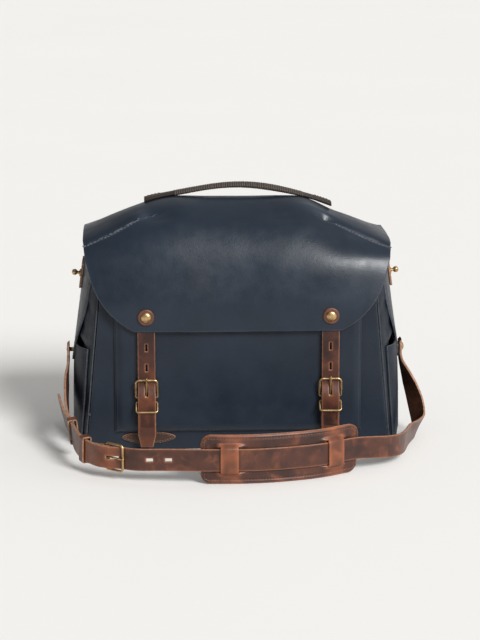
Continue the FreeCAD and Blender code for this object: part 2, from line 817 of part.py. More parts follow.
def layer(distance):
    """How far out of the route the long strap's middle lies, over the buckle's eye and the short strap."""
    tail = ((-166, 11.5), (-140, 7.0), (-104, 3.7))
    steps = tail + ((-20, 3.7), (-8, 5.0), (4, 5.0), (19, -0.3), (32, -0.3), (60, 0.0))
    if distance <= steps[0][0]:
        return steps[0][1]
    for (start, low), (end, high) in zip(steps, steps[1:]):
        if distance <= end:
            return low + (high - low) * (distance - start) / (end - start)
    return 0.0


def shoulder_strap():
    """Short strap, long strap, pad, leather keepers and the buckle."""
    half, thick = dim("strap_width") / 2, dim("strap_thickness")
    short = ribbon(stations(LEFT_END, -2.0), -half, half, -thick / 2, thick / 2)
    inward = UP.cross(HEADING)
    turn = Rotation(inward.cross(HEADING), inward, HEADING, "XYZ")
    place = Placement(PIVOT, turn)
    eye = across(3.2, 0, 0, half)
    bore, slot = across(1.5, 0, 0, 30), slab(2.6, (-3.6, -6), (6, 6))
    for piece in (eye, bore, slot):
        piece.Placement = place
    short = short.fuse([eye, rivet_end(-1)]).cut(bore).cut(slot).cut(rivet_bore(-1))
    shaped("strap_short", short.Solids[0])

    marks = stations(-166, RIGHT_END, (-140, -104, -20, -8, 4, 19, 32, 60))
    long = ribbon(marks, -half, half, lambda s: layer(s) - thick / 2, lambda s: layer(s) + thick / 2)
    long = long.fuse(rivet_end(1)).cut(rivet_bore(1))
    for distance, length in ((8.9, 15.0), (52.0, 8.0), (73.0, 8.0)):
        long = long.cut(local_block(distance, length / 2, -1.9, 1.9, -4, 12))
    shaped("strap_long", long.Solids[0])

    for word, distance in (("lower", -36.0), ("upper", -97.0)):
        loop = local_block(distance, 5, -half - 2.9, half + 2.9, -4.0, 7.7)
        room = local_block(distance, 6, -half - 0.5, half + 0.5, -1.9, 5.6)
        shaped(f"strap_keeper_{word}", loop.cut(room))

    shaped("strap_buckle_frame", wire_loop(14.8, (0, 0), (22, 2.8), 1.4, 1.9, 4.0), place)
    shaped("strap_buckle_tongue", tongue(1.4, 24.0, 5.95, 1.1), place)
    pad(108.0, 108.0 + dim("pad_length"))


def pad(first, last):
    """The shoulder pad: a backing, and a top layer with two bridges that the strap passes under."""
    wide, half = dim("pad_width") / 2, dim("strap_width") / 2
    ends = [(first + 22, first + 42), (last - 42, last - 22)]
    marks = stations(first, last, [mark for pair in ends for mark in pair])
    shaped("shoulder_pad_backing", ribbon(marks, -wide, wide, -7.2, -4.3))
    top = ribbon(marks, -wide, wide, -4.25, -1.8)
    for start, end in ends:
        inside = [mark for mark in marks if start <= mark <= end]
        for low, high, inner, outer in (
            (-half - 4, -half - 1.2, -1.8, 1.9),
            (half + 1.2, half + 4, -1.8, 1.9),
            (-half - 4, half + 4, 1.9, 4.2),
        ):
            top = top.fuse(ribbon(inside, low, high, inner, outer))
    shaped("shoulder_pad_top", top)


# ---------------------------------------------------------------- build, check and write


def check(parts):
    """Stop unless every object has computed and every sub-part is one good solid."""
    for item in doc.Objects:
        if "Invalid" in item.State or "Error" in item.State:
            raise RuntimeError(f"{item.Label} did not compute: {item.State}")
    for part in parts:
        if part.Shape.isNull() or not part.Shape.isValid() or not part.Shape.Solids:
            raise RuntimeError(f"{part.Label} has no valid solid")


def main():
    """Build every sub-part and write one STEP file for each."""
    shell = (flat_panels, side_walls, roof, front_pocket)
    for build in (*shell, side_fittings, handle, closures, shoulder_strap):
        build()
    doc.recompute()
    check(NODES)
    os.makedirs("parts", exist_ok=True)
    for part in NODES:
        part.Shape.exportStep(f"parts/{part.Label}.step")
        bounds = part.Shape.optimalBoundingBox()
        print(
            f"{part.Label:24s} {part.Shape.Volume:12.1f} mm3, solids {len(part.Shape.Solids)}, "
            f"x {bounds.XMin:.1f}..{bounds.XMax:.1f}, y {bounds.YMin:.1f}..{bounds.YMax:.1f}, "
            f"z {bounds.ZMin:.1f}..{bounds.ZMax:.1f}"
        )


main()
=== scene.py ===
"""Messenger bag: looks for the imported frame. Lengths below are millimetres until a mesh is made."""
import json
import math

import bpy
import numpy as np
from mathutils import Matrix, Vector, noise


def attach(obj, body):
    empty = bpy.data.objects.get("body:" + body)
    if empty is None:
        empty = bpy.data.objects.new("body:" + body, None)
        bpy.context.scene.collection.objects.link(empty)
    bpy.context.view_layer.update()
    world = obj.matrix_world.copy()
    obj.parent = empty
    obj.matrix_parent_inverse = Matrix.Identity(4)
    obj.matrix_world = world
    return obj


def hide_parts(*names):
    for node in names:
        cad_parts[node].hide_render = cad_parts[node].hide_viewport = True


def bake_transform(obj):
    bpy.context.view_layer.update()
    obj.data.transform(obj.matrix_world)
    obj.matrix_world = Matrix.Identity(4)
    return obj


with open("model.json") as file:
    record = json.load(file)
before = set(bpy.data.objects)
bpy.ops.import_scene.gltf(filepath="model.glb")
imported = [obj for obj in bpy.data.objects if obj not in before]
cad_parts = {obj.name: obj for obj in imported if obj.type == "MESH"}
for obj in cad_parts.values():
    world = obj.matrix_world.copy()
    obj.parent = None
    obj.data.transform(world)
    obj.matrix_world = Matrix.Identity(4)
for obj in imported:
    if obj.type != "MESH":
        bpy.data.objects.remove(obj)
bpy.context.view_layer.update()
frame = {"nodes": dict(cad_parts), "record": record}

MM = 0.001
SIDES = (("left", -1), ("right", 1))


# ---------------------------------------------------------------- materials


class Nodes:
    """A material's node tree, with short calls for the nodes used here."""

    def __init__(self, name):
        self.material = bpy.data.materials.new(name)
        self.material.use_nodes = True
        self.tree = self.material.node_tree
        self.tree.nodes.clear()
        self.shader = self.tree.nodes.new("ShaderNodeBsdfPrincipled")
        output = self.tree.nodes.new("ShaderNodeOutputMaterial")
        self.link(self.shader.outputs[0], output.inputs[0])
        self.place = self.tree.nodes.new("ShaderNodeTexCoord").outputs["Object"]

    def link(self, source, target):
        self.tree.links.new(source, target)

    def node(self, kind, vector=None, **numbers):
        """A new node with its numbers set; a _ in a name stands for a space."""
        node = self.tree.nodes.new(kind)
        for name, number in numbers.items():
            node.inputs[name.replace("_", " ")].default_value = number
        if vector is not None:
            self.link(vector, node.inputs["Vector"])
        return node

    def noise(self, scale, detail=3.0, rough=0.5, distortion=0.0):
        inputs = {"Scale": scale, "Detail": detail, "Roughness": rough, "Distortion": distortion}
        return self.node("ShaderNodeTexNoise", self.place, **inputs).outputs["Fac"]

    def cells(self, scale):
        return self.node("ShaderNodeTexVoronoi", self.place, Scale=scale).outputs["Distance"]

    def spread(self, source, low, high, to_low=0.0, to_high=1.0):
        node = self.node("ShaderNodeMapRange", From_Min=low, From_Max=high, To_Min=to_low, To_Max=to_high)
        self.link(source, node.inputs["Value"])
        return node.outputs["Result"]

    def mix(self, share, first, second):
        node = self.tree.nodes.new("ShaderNodeMix")
        node.data_type = "RGBA"
        self.link(share, node.inputs["Factor"])
        for value, socket in ((first, node.inputs[6]), (second, node.inputs[7])):
            if isinstance(value, tuple):
                socket.default_value = (*value, 1.0)
            else:
                self.link(value, socket)
        return node.outputs[2]

    def attribute(self, name):
        node = self.tree.nodes.new("ShaderNodeAttribute")
        node.attribute_name = name
        return node.outputs["Fac"]

    def bump(self, height, distance, below=None):
        node = self.node("ShaderNodeBump", Strength=1.0, Distance=distance)
        self.link(height, node.inputs["Height"])
        if below is not None:
            self.link(below, node.inputs["Normal"])
        return node.outputs["Normal"]

    def finish(self, colour, roughness, normal, **sockets):
        for name, source in (("Base Color", colour), ("Roughness", roughness), ("Normal", normal)):
            self.link(source, self.shader.inputs[name])
        for name, number in sockets.items():
            self.shader.inputs[name.replace("_", " ")].default_value = number
        return self.material


def leather(name, deep, middle, worn_and_sheen_tone, rough, blotch=16.0, grain=0.00006, pull=0.0, **sockets):
    """Grained leather: blotchy tone, fine pores, hair-line marks, and a paler colour where the mesh says so, for wear
    and for painted highlights.
    """
    n = Nodes(name)
    tone = n.mix(n.spread(n.noise(blotch, 4.0, 0.55), 0.36, 0.66), deep, middle)
    if pull:
        streaks = n.spread(n.noise(42.0, 5.0, 0.6, 0.6), 0.52, 0.72, 0.0, pull)
        tone = n.mix(streaks, tone, worn_and_sheen_tone)
    # The mesh's per-point tone mixes in the paler colour: real wear at cut edges and slots, painted highlights at folds
    # and bends.
    tone = n.mix(n.attribute("wear_and_sheen"), tone, worn_and_sheen_tone)
    roughness = n.spread(n.noise(70.0, 4.0), 0.3, 0.7, rough - 0.06, rough + 0.07)
    pores = n.bump(n.cells(900.0), grain)
    marks = n.bump(n.noise(230.0, 5.0, 0.62), grain * 1.6, pores)
    soft = n.bump(n.noise(26.0, 2.0), grain * 6.0, marks)
    return n.finish(tone, roughness, soft, **sockets)


def plain(name, deep, middle, tone, rough, grain, **sockets):
    """A two-tone finish: noises (scale, detail, roughness) for tone and grain, and a roughness (scale, low, high)."""
    n = Nodes(name)
    scale, low, high = rough
    return n.finish(
        n.mix(n.spread(n.noise(*tone[:3]), *tone[3:]), deep, middle),
        n.spread(n.noise(scale), 0.3, 0.7, low, high),
        n.bump(n.noise(*grain[:-1]), grain[-1]),
        **sockets,
    )


def flesh(name, deep, middle):
    """The napped inner side of the leather."""
    tone, rough, grain = (120.0, 6.0, 0.7, 0.35, 0.7), (300.0, 0.75, 0.9), (1400.0, 4.0, 0.7, 0.00015)
    return plain(name, deep, middle, tone, rough, grain, Specular_IOR_Level=0.2)


def cut_edge(name, deep, middle):
    """A cut and burnished edge, with its layered fibres."""
    tone, rough, grain = (420.0, 4.0, 0.65, 0.35, 0.68), (200.0, 0.42, 0.62), (900.0, 3.0, 0.0001)
    return plain(name, deep, middle, tone, rough, grain)


def thread(name, deep, middle):
    """Waxed thread, twisted along its length."""
    tone, rough, grain = (900.0, 2.0, 0.5, 0.35, 0.65), (500.0, 0.5, 0.7), (2600.0, 2.0, 0.0001)
    return plain(name, deep, middle, tone, rough, grain)


def brass(name):
    """Antique brass: bright and brown tarnish mixed in patches."""
    n = Nodes(name)
    tarnish = n.spread(n.noise(240.0, 5.0, 0.65), 0.38, 0.66)
    tone = n.mix(tarnish, (0.62, 0.42, 0.2), (0.33, 0.215, 0.11))
    return n.finish(
        tone,
        n.spread(n.noise(320.0, 4.0), 0.3, 0.7, 0.26, 0.46),
        n.bump(n.noise(700.0, 4.0), 0.00004),
        Metallic=1.0,
    )


def plain_fibre(name, deep, middle):
    """Board or cord, hidden inside."""
    tone, rough, grain = (300.0, 5.0, 0.7, 0.35, 0.68), (300.0, 0.75, 0.9), (1100.0, 4.0, 0.0002)
    return plain(name, deep, middle, tone, rough, grain)


NAVY_TOP = leather(
    "navy_leather_top", (0.0064, 0.0126, 0.0232), (0.0098, 0.0182, 0.032), (0.075, 0.095, 0.128), 0.34,
    Specular_IOR_Level=0.38, Coat_Weight=0.06, Coat_Roughness=0.3,
)
NAVY_SIDE = leather(
    "navy_leather_side", (0.008, 0.0135, 0.0235), (0.0125, 0.0195, 0.032), (0.05, 0.064, 0.085), 0.43,
    Specular_IOR_Level=0.32,
)
# A darker copy of the side leather for the gussets and side pockets: the darker colour is painted shade, the lower
# specular level is the finish.
NAVY_WALL_SHADED = leather(
    "navy_leather_wall_painted_shade", (0.006, 0.0102, 0.018), (0.0098, 0.0152, 0.0255), (0.04, 0.052, 0.07), 0.5,
    Specular_IOR_Level=0.2,
)
NAVY_EDGE = cut_edge("navy_cut_edge", (0.03, 0.036, 0.045), (0.085, 0.095, 0.112))
NAVY_FLESH = flesh("navy_flesh_side", (0.016, 0.02, 0.026), (0.03, 0.036, 0.045))
BROWN_TOP = leather(
    "brown_leather_top", (0.033, 0.0122, 0.0088), (0.078, 0.0262, 0.0155), (0.4, 0.122, 0.048), 0.40,
    blotch=30.0, pull=0.35, Specular_IOR_Level=0.4, Coat_Weight=0.08, Coat_Roughness=0.3,
)
CLOSURE_TOP = leather(
    "brown_leather_closure", (0.027, 0.0102, 0.0078), (0.064, 0.0215, 0.0132), (0.34, 0.102, 0.042), 0.43,
    blotch=30.0, pull=0.3, Specular_IOR_Level=0.33,
)
BROWN_DARK = leather(
    "brown_leather_dark", (0.036, 0.019, 0.013), (0.075, 0.037, 0.024), (0.2, 0.09, 0.05), 0.5,
    blotch=30.0, pull=0.2, Specular_IOR_Level=0.35,
)
BROWN_EDGE = cut_edge("brown_cut_edge", (0.19, 0.085, 0.045), (0.42, 0.24, 0.15))
BROWN_FLESH = flesh("brown_flesh_side", (0.05, 0.019, 0.011), (0.098, 0.038, 0.02))
NAVY_THREAD = thread("navy_thread", (0.016, 0.022, 0.032), (0.045, 0.055, 0.075))
PALE_THREAD = thread("pale_thread", (0.06, 0.068, 0.088), (0.15, 0.16, 0.195))
BROWN_THREAD = thread("brown_thread", (0.2, 0.075, 0.035), (0.36, 0.15, 0.075))
DARK_THREAD = thread("dark_thread", (0.045, 0.032, 0.025), (0.1, 0.077, 0.062))
BRASS = brass("antique_brass_finish")
BOARD = plain_fibre("fibre_board", (0.12, 0.09, 0.06), (0.2, 0.15, 0.1))
ROPE = plain_fibre("cord_fibre", (0.3, 0.26, 0.2), (0.45, 0.4, 0.32))

HANDLE_TOP = leather(
    "handle_leather_top", (0.02, 0.0142, 0.0118), (0.039, 0.0285, 0.0232), (0.09, 0.066, 0.053), 0.5,
    blotch=40.0, Specular_IOR_Level=0.26,
)
WASHER = leather("washer_leather", (0.07, 0.024, 0.013), (0.15, 0.052, 0.026), (0.3, 0.11, 0.05), 0.45, blotch=90.0)

# Each look is a sheet's grain side, cut edge and flesh side.
NAVY_TOP_LOOK, NAVY_LOOK, NAVY_WALL_SHADED_LOOK = ((top, NAVY_EDGE, NAVY_FLESH) for top in (NAVY_TOP, NAVY_SIDE, NAVY_WALL_SHADED))
CLOSURE_LOOK, BROWN_LOOK, DARK_LOOK = ((top, BROWN_EDGE, BROWN_FLESH) for top in (CLOSURE_TOP, BROWN_TOP, BROWN_DARK))


# ---------------------------------------------------------------- small sums


def clamp(share):
    """A share held between zero and one."""
    return min(max(share, 0.0), 1.0)


def hill(gap, width):
    """A smooth bump: one at no gap, fading away over a width."""
    return np.exp(-((gap / width) ** 2))


def lengths(line):
    """The length along a polyline up to each of its points."""
    return np.concatenate([[0.0], np.cumsum(np.linalg.norm(np.diff(line, axis=0), axis=1))])


def between(at, marks, values):
    """The rows of values, given at marks, read between them."""
    return np.array([np.interp(at, marks, values[:, k]) for k in range(values.shape[1])])


def unit(vector):
    return vector / np.linalg.norm(vector)


def surface(rows, columns, cell):
    """The grids of points and of wear that cell(row, column) gives."""
    cells = [[cell(a, b) for b in columns] for a in rows]
    return tuple(np.array([[pair[k] for pair in row] for row in cells]) for k in (0, 1))


def wave(x, y, z, size, seed):
    """Smooth noise between about -1 and 1, with bumps of a given size."""
    return noise.noise(Vector((x / size + seed * 7.3, y / size - seed * 3.1, z / size + seed)))


# ---------------------------------------------------------------- mesh helpers


def make_mesh(name, points, faces, materials, slots=None, wear_and_sheen=None):
    """A smooth-shaded mesh object from millimetre points."""
    mesh = bpy.data.meshes.new(name)
    mesh.from_pydata((np.asarray(points) * MM).tolist(), [], [tuple(int(i) for i in f) for f in faces])
    for material in materials:
        mesh.materials.append(material)
    if slots is not None:
        mesh.polygons.foreach_set("material_index", np.asarray(slots, dtype=np.int32))
    # Per-point tone: real wear, and on some pieces painted highlights.
    layer = mesh.attributes.new("wear_and_sheen", "FLOAT", "POINT")
    if wear_and_sheen is not None:
        layer.data.foreach_set("value", np.asarray(wear_and_sheen, dtype=np.float32))
    mesh.validate()
    mesh.shade_smooth()
    obj = bpy.data.objects.new(name, mesh)
    bpy.context.collection.objects.link(obj)
    return obj


def applied(obj):
    """Turn the object's modifiers into its mesh."""
    graph = bpy.context.evaluated_depsgraph_get()
    mesh = bpy.data.meshes.new_from_object(obj.evaluated_get(graph), preserve_all_data_layers=True, depsgraph=graph)
    obj.modifiers.clear()
    obj.data = mesh
    return obj


def bevelled(obj, width, material=1):
    """Round the sharp edges a little."""
    tool = obj.modifiers.new("edge", "BEVEL")
    tool.width = width * MM
    tool.segments = 2
    tool.limit_method = "ANGLE"
    tool.angle_limit = math.radians(50.0)
    tool.material = material
    tool.use_clamp_overlap = False
    return applied(obj)


def grid_faces(rows, columns, keep=None, around=False):
    """Quads of a grid of rows and columns; keep(row, column) leaves cells out, around closes the columns."""
    faces = []
    for i in range(rows - 1):
        for j in range(columns if around else columns - 1):
            if keep is None or keep(i, j):
                k = (j + 1) % columns
                faces.append((i * columns + j, i * columns + k, (i + 1) * columns + k, (i + 1) * columns + j))
    return np.array(faces)


def point_normals(points, faces):
    """Area-weighted normals at the points."""
    a, b, c, d = (points[faces[:, k]] for k in range(4))
    each = np.cross(c - a, d - b)
    total = np.zeros_like(points)
    for k in range(4):
        np.add.at(total, faces[:, k], each)
    length = np.linalg.norm(total, axis=1, keepdims=True)
    return total / np.maximum(length, 1e-9)


def hide(name, points, faces, thickness, look, wear_and_sheen=None, bevel=0.35):
    """A sheet of leather: its grain side as given, its flesh side a thickness behind, and cut edges between."""
    points = np.asarray(points, dtype=float)
    count = len(points)
    inner = points - point_normals(points, faces) * thickness
    starts, ends = faces.ravel(), np.roll(faces, -1, axis=1).ravel()
    back = set((ends * count + starts).tolist())
    rim = [(b, a, a + count, b + count) for a, b in zip(starts, ends) if a * count + b not in back]
    every = np.vstack([faces, faces[:, ::-1] + count, np.array(rim)])
    slots = np.concatenate([np.zeros(len(faces)), np.full(len(faces), 2), np.ones(len(rim))])
    tone = None if wear_and_sheen is None else np.concatenate([wear_and_sheen, wear_and_sheen])
    used = np.unique(every)
    renumber = np.full(2 * count, -1)
    renumber[used] = np.arange(len(used))
    everywhere = np.vstack([points, inner])[used]
    tone = None if tone is None else tone[used]
    obj = make_mesh(name, everywhere, renumber[every], look, slots, tone)
    return bevelled(obj, bevel) if bevel else obj


def sheet_grid(name, grid, thickness, look, wear_and_sheen=None, keep=None, bevel=0.35):
    """A sheet of leather from a grid of grain-side points."""
    grid = np.asarray(grid, dtype=float)
    rows, columns = grid.shape[:2]
    tone = None if wear_and_sheen is None else np.asarray(wear_and_sheen, dtype=float).ravel()
    return hide(name, grid.reshape(-1, 3), grid_faces(rows, columns, keep), thickness, look, tone, bevel)


def plate(name, outline, origin, across, up, thickness, look):
    """A flat piece: an outline of (across, up) pairs, filled from its rim to its middle."""
    origin, across, up = (np.array(v, dtype=float) for v in (origin, across, up))
    outline = np.array(outline, dtype=float)
    outline = resampled(np.vstack([outline, outline[:1]]), 1.6)[:-1]
    area = np.sum(outline[:, 0] * np.roll(outline[:, 1], -1) - np.roll(outline[:, 0], -1) * outline[:, 1])
    if area < 0:
        outline = outline[::-1]
    centre = outline.mean(axis=0)
    rings = [outline + (centre - outline) * share for share in (0.0, 0.04, 0.12, 0.3, 0.55, 0.8, 0.97)]
    flat = np.vstack([*rings, centre])
    points = origin + flat[:, :1] * across + flat[:, 1:] * up
    count, last = len(outline), len(flat) - 1
    faces = grid_faces(len(rings), count, None, True)
    hub = last - count
    caps = [(hub + k, hub + (k + 1) % count, last) for k in range(count)]
    return flat_solid(name, points, faces, caps, thickness, look)


def flat_solid(name, points, faces, caps, thickness, look):
    """A flat sheet with a triangle fan at its middle, given thickness."""
    count = len(points)
    inner = points - point_normals(points, faces)[0] * thickness
    ring = [tuple(f) for f in faces] + caps
    first = {(f[k], f[(k + 1) % len(f)]) for f in ring for k in range(len(f))}
    rim = [(b, a, a + count, b + count) for a, b in first if (b, a) not in first]
    every = ring + [tuple(i + count for i in f[::-1]) for f in ring] + rim
    slots = [0] * len(ring) + [2] * len(ring) + [1] * len(rim)
    return bevelled(make_mesh(name, np.vstack([points, inner]), every, look, slots), 0.35)


def resampled(line, step):
    """The same polyline with points an even step apart."""
    line = np.asarray(line, dtype=float)
    run = lengths(line)
    count = max(2, int(round(run[-1] / step)) + 1)
    return between(np.linspace(0, run[-1], count), run, line).T


def natural_spline(points):
    """A smooth curve through points, by chord length: returns its knots and a function of the knot value."""
    points = np.asarray(points, dtype=float)
    knots = lengths(points)
    gaps = np.diff(knots)
    count = len(points)
    matrix, right = np.zeros((count, count)), np.zeros((count, points.shape[1]))
    matrix[0, 0] = matrix[-1, -1] = 1.0
    for i in range(1, count - 1):
        matrix[i, i - 1 : i + 2] = gaps[i - 1], 2 * (gaps[i - 1] + gaps[i]), gaps[i]
        right[i] = 6 * ((points[i + 1] - points[i]) / gaps[i] - (points[i] - points[i - 1]) / gaps[i - 1])
    bend = np.linalg.solve(matrix, right)

    def value(t):
        t = np.atleast_1d(t)
        i = np.clip(np.searchsorted(knots, t) - 1, 0, count - 2)
        gap, left, over = gaps[i][:, None], (knots[i + 1] - t)[:, None], (t - knots[i])[:, None]
        return (
            (bend[i] * left**3 + bend[i + 1] * over**3) / (6 * gap)
            + (points[i] / gap - bend[i] * gap / 6) * left
            + (points[i + 1] / gap - bend[i + 1] * gap / 6) * over
        )

    return knots, value


def smooth_line(points, step):
    """A smooth curve through points, as points an even step apart."""
    knots, value = natural_spline(points)
    return resampled(value(np.linspace(0, knots[-1], 40 * len(points))), step)


STITCH_RING = grid_faces(6, 6, None, True)


def stitches(name, lines, spacing, size, material, sink=0.15):
    """Thread stitches along lines; each line is its points and the outward direction, one or one for each."""
    long, wide = size
    length = long / 2 * np.array([-1.0, -0.8, -0.35, 0.35, 0.8, 1.0])
    girth = wide / 2 * np.array([0.25, 0.8, 1.0, 1.0, 0.8, 0.25])
    turns = np.linspace(0, 2 * math.pi, 7)[:-1]
    points, faces = [], []
    for line, outward in lines:
        outward = np.broadcast_to(outward, line.shape)
        run = lengths(line)
        count = int(run[-1] / spacing)
        for at in (np.arange(count) + 0.5) * run[-1] / count:
            centre = between(at, run, line)
            along = unit(between(at + 0.5, run, line) - between(at - 0.5, run, line))
            out = between(at, run, outward)
            out = unit(out - along * out.dot(along))
            side = np.cross(along, out)
            base = len(points)
            for a, g in zip(length, girth):
                for turn in turns:
                    lift = g * math.sin(turn) - sink - 0.18 * (abs(a) / (long / 2)) ** 2
                    points.append(centre + along * a + side * (g * math.cos(turn)) + out * lift)
            faces += (STITCH_RING + base).tolist()
            faces.append(range(base + 5, base - 1, -1))
            faces.append(range(base + 30, base + 36))
    return make_mesh(name, points, faces, [material])


def lathe(name, profile, origin, axis, material, steps=40):
    """A turned piece: (radius, height) pairs spun about an axis."""
    axis = unit(np.array(axis, dtype=float))
    side = unit(np.cross(axis, (0.0, 0.0, 1.0) if abs(axis[2]) < 0.9 else (0.0, 1.0, 0.0)))
    other = np.cross(axis, side)
    points = []
    for radius, height in profile:
        for turn in np.arange(steps) * 2 * math.pi / steps:
            spoke = side * math.cos(turn) + other * math.sin(turn)
            points.append(np.array(origin) + axis * height + spoke * max(radius, 0.02))
    return make_mesh(name, points, grid_faces(len(profile), steps, None, True)[:, ::-1], [material])


def own(piece, body, slot, *nodes):
    """Ride on a body and stand for CAD nodes; the slot argument is not used."""
    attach(piece, body)
    if nodes:
        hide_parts(*nodes)
    return piece


def seam(name, body, slot, *facts):
    """Stitches that ride on a body."""
    return own(stitches(name, *facts), body, slot)


# ---------------------------------------------------------------- roof: flap and yoke in one hide

HEM, FLAP_HALF, CREST = 142.5, 177.5, 285.0
# How much lower the soft leather lies over the right shoulder than over the left.
RIGHT_SAG = 8.5
# Depth and height of the grain side over the middle, from the hem up over the crease to the yoke's foot.
SECTION = (
    (-87.0, 142.5), (-87.1, 156.0), (-86.6, 169.0), (-83.5, 190.0), (-78.5, 211.0), (-71.0, 233.0),
    (-60.0, 252.5), (-45.0, 268.0), (-27.0, 279.0), (-15.0, 283.6), (-6.0, 285.0), (6.0, 284.7),
    (22.0, 280.0), (42.0, 271.5), (60.0, 260.0), (68.0, 249.0), (70.0, 242.0), (70.0, 236.1),
)
ROOF_LINE = smooth_line(SECTION, 1.0)
ROOF_RUN = np.arange(len(ROOF_LINE)) * np.linalg.norm(np.diff(ROOF_LINE, axis=0), axis=1).mean()
CREASE_RUN = float(np.interp(6.0, ROOF_LINE[:, 0], ROOF_RUN))


def crest(x):
    """Height of the ridge at a distance from the middle."""
    share = clamp((abs(x) - 66.0) / (FLAP_HALF - 66.0))
    sag = clamp((x - 72.0) / 48.0)
    return CREST - 37.0 * share**1.6 - RIGHT_SAG * sag**2 * (3 - 2 * sag)


def corner_circle():
    """Middle and radius of the circle through three points of the flap's round corner."""
    (x1, z1), (x2, z2), (x3, z3) = CORNER
    matrix = np.array([[x2 - x1, z2 - z1], [x3 - x1, z3 - z1]]) * 2
    right = np.array([x2**2 - x1**2 + z2**2 - z1**2, x3**2 - x1**2 + z3**2 - z1**2])
    cx, cz = np.linalg.solve(matrix, right)
    return cx, cz, math.hypot(x1 - cx, z1 - cz)


CORNER = ((118.0, HEM), (153.0, HEM + 28.0), (170.0, HEM + 64.5))
CORNER_X, CORNER_Z, CORNER_RADIUS = corner_circle()


def roof_half_width(run):
    """Half the hide's width at a distance up from the hem: straight hem, round corners, sides that lean in."""
    depth, height = between(run, ROOF_RUN, ROOF_LINE)
    if depth > -45:
        return FLAP_HALF
    if height < CORNER[-1][1]:
        return CORNER_X + math.sqrt(max(CORNER_RADIUS**2 - (height - CORNER_Z) ** 2, 0.0))
    return float(np.interp(height, (CORNER[-1][1], 228.0, 264.0), (170.0, 174.8, FLAP_HALF)))


def roof_base(x, run):
    """A point of the plain roof surface."""
    depth, height = between(run, ROOF_RUN, ROOF_LINE)
    back = clamp((depth + 30) / 60)
    foot = 200.0 + 36.0 * back
    rise = CREST - foot
    if height > foot:
        over = height - foot
        height = foot + over * (1 - (CREST - crest(x)) / rise * (over / rise) ** (0.8 * (1 - back)))
    bow = 9.0 * min(abs(x) / FLAP_HALF, 1.0) ** 4 * clamp((-depth - 15) / 45)
    return np.array([x, depth + bow, height])


# The shoulder darts, each a line on the hide of (distance from the middle, distance up from the hem).
DARTS = {
    -1: np.array(((-177.0, 113.0), (-142.0, 128.0), (-112.0, 143.0), (-92.0, 147.0))),
    1: np.array(((177.0, 112.0), (145.0, 128.0), (112.0, 143.0), (86.0, 149.0))),
}


def dart_offset(x, run):
    """Signed distance above a shoulder dart, and how far in it is from the dart's outer end."""
    line = DARTS[1 if x > 0 else -1]
    found = []
    for (x1, r1), (x2, r2) in zip(line, line[1:]):
        length = math.hypot(x2 - x1, r2 - r1)
        ux, ur = (x2 - x1) / length, (r2 - r1) / length
        held = min(max((x - x1) * ux + (run - r1) * ur, 0.0), length)
        gap = math.hypot(x - x1 - ux * held, run - r1 - ur * held)
        sign = 1 if (run - r1) - (x - x1) * ur / ux > 0 else -1
        found.append((gap, sign, abs(x1 - line[0][0]) + held))
    gap, sign, along = min(found, key=lambda each: each[0])
    return gap * sign, along


def outer_share(x):
    """Nothing in the middle of the flap, growing to one under the darts."""
    return clamp((abs(x) - 6) / 34)


def swelled(x, run, spots):
    """How far dents and swells lift the hide."""
    return sum(depth * hill(x - cx, wide) * hill(run - cr, tall) for cx, cr, wide, tall, depth in spots)


def by_darts(x, run):
    return outer_share(x) > 0 and 60 < run < CREASE_RUN + 20


def roof_relief(x, run):
    """How far the hide stands off the plain surface: shoulder darts, the puckers at their tips, and soft waves."""
    lift = 1.2 * wave(x, run, 0, 90, 1) + 0.4 * wave(x, run, 0, 34, 2) + swelled(x, run, SWELLS)
    if by_darts(x, run):
        gap, along = dart_offset(x, run)
        fade = clamp(1 - (along - 62) / 30)
        lift += fade * (-4.2 * hill(gap, 7.5) if gap > 0 else hill(gap, 9.0))
        lift += outer_share(x) * swelled(x, run, PUCKERS[1 if x > 0 else -1])
    return lift


# Dents (-) and swells (+) of the hide: middle, distance up from the hem, half width, half height, depth.
SWELLS = (
    (132.0, 116.0, 50.0, 20.0, -2.6), (118.0, 74.0, 60.0, 22.0, 1.6),
    (40.0, 140.0, 40.0, 16.0, -1.2), (44.0, 40.0, 26.0, 60.0, 1.1),
)
# The same at the tips of the darts.
PUCKERS = {
    -1: ((-110.0, 148.0, 8.0, 9.0, 2.4), (-88.0, 140.0, 20.0, 9.0, -3.4), (-60.0, 152.0, 30.0, 12.0, 1.2)),
    1: ((88.0, 157.0, 22.0, 8.0, 2.2), (103.0, 149.0, 8.0, 6.0, -4.2), (60.0, 138.0, 34.0, 8.0, -1.6)),
}


def dart_line_and_highlight(x, run):
    """The grain stretched pale along a dart, and a painted highlight over the fold at its tip."""
    if not by_darts(x, run):
        return 0.0
    gap, along = dart_offset(x, run)
    cx, cr, wide, tall, _ = PUCKERS[1 if x > 0 else -1][0]
    line = 0.3 * hill(gap + 1.5, 2.2) * clamp((74 - along) / 20)
    # The second term is a painted highlight on the pucker at the dart's tip.
    return outer_share(x) * (line + 0.22 * hill(x - cx, wide) * hill(run - cr, tall))


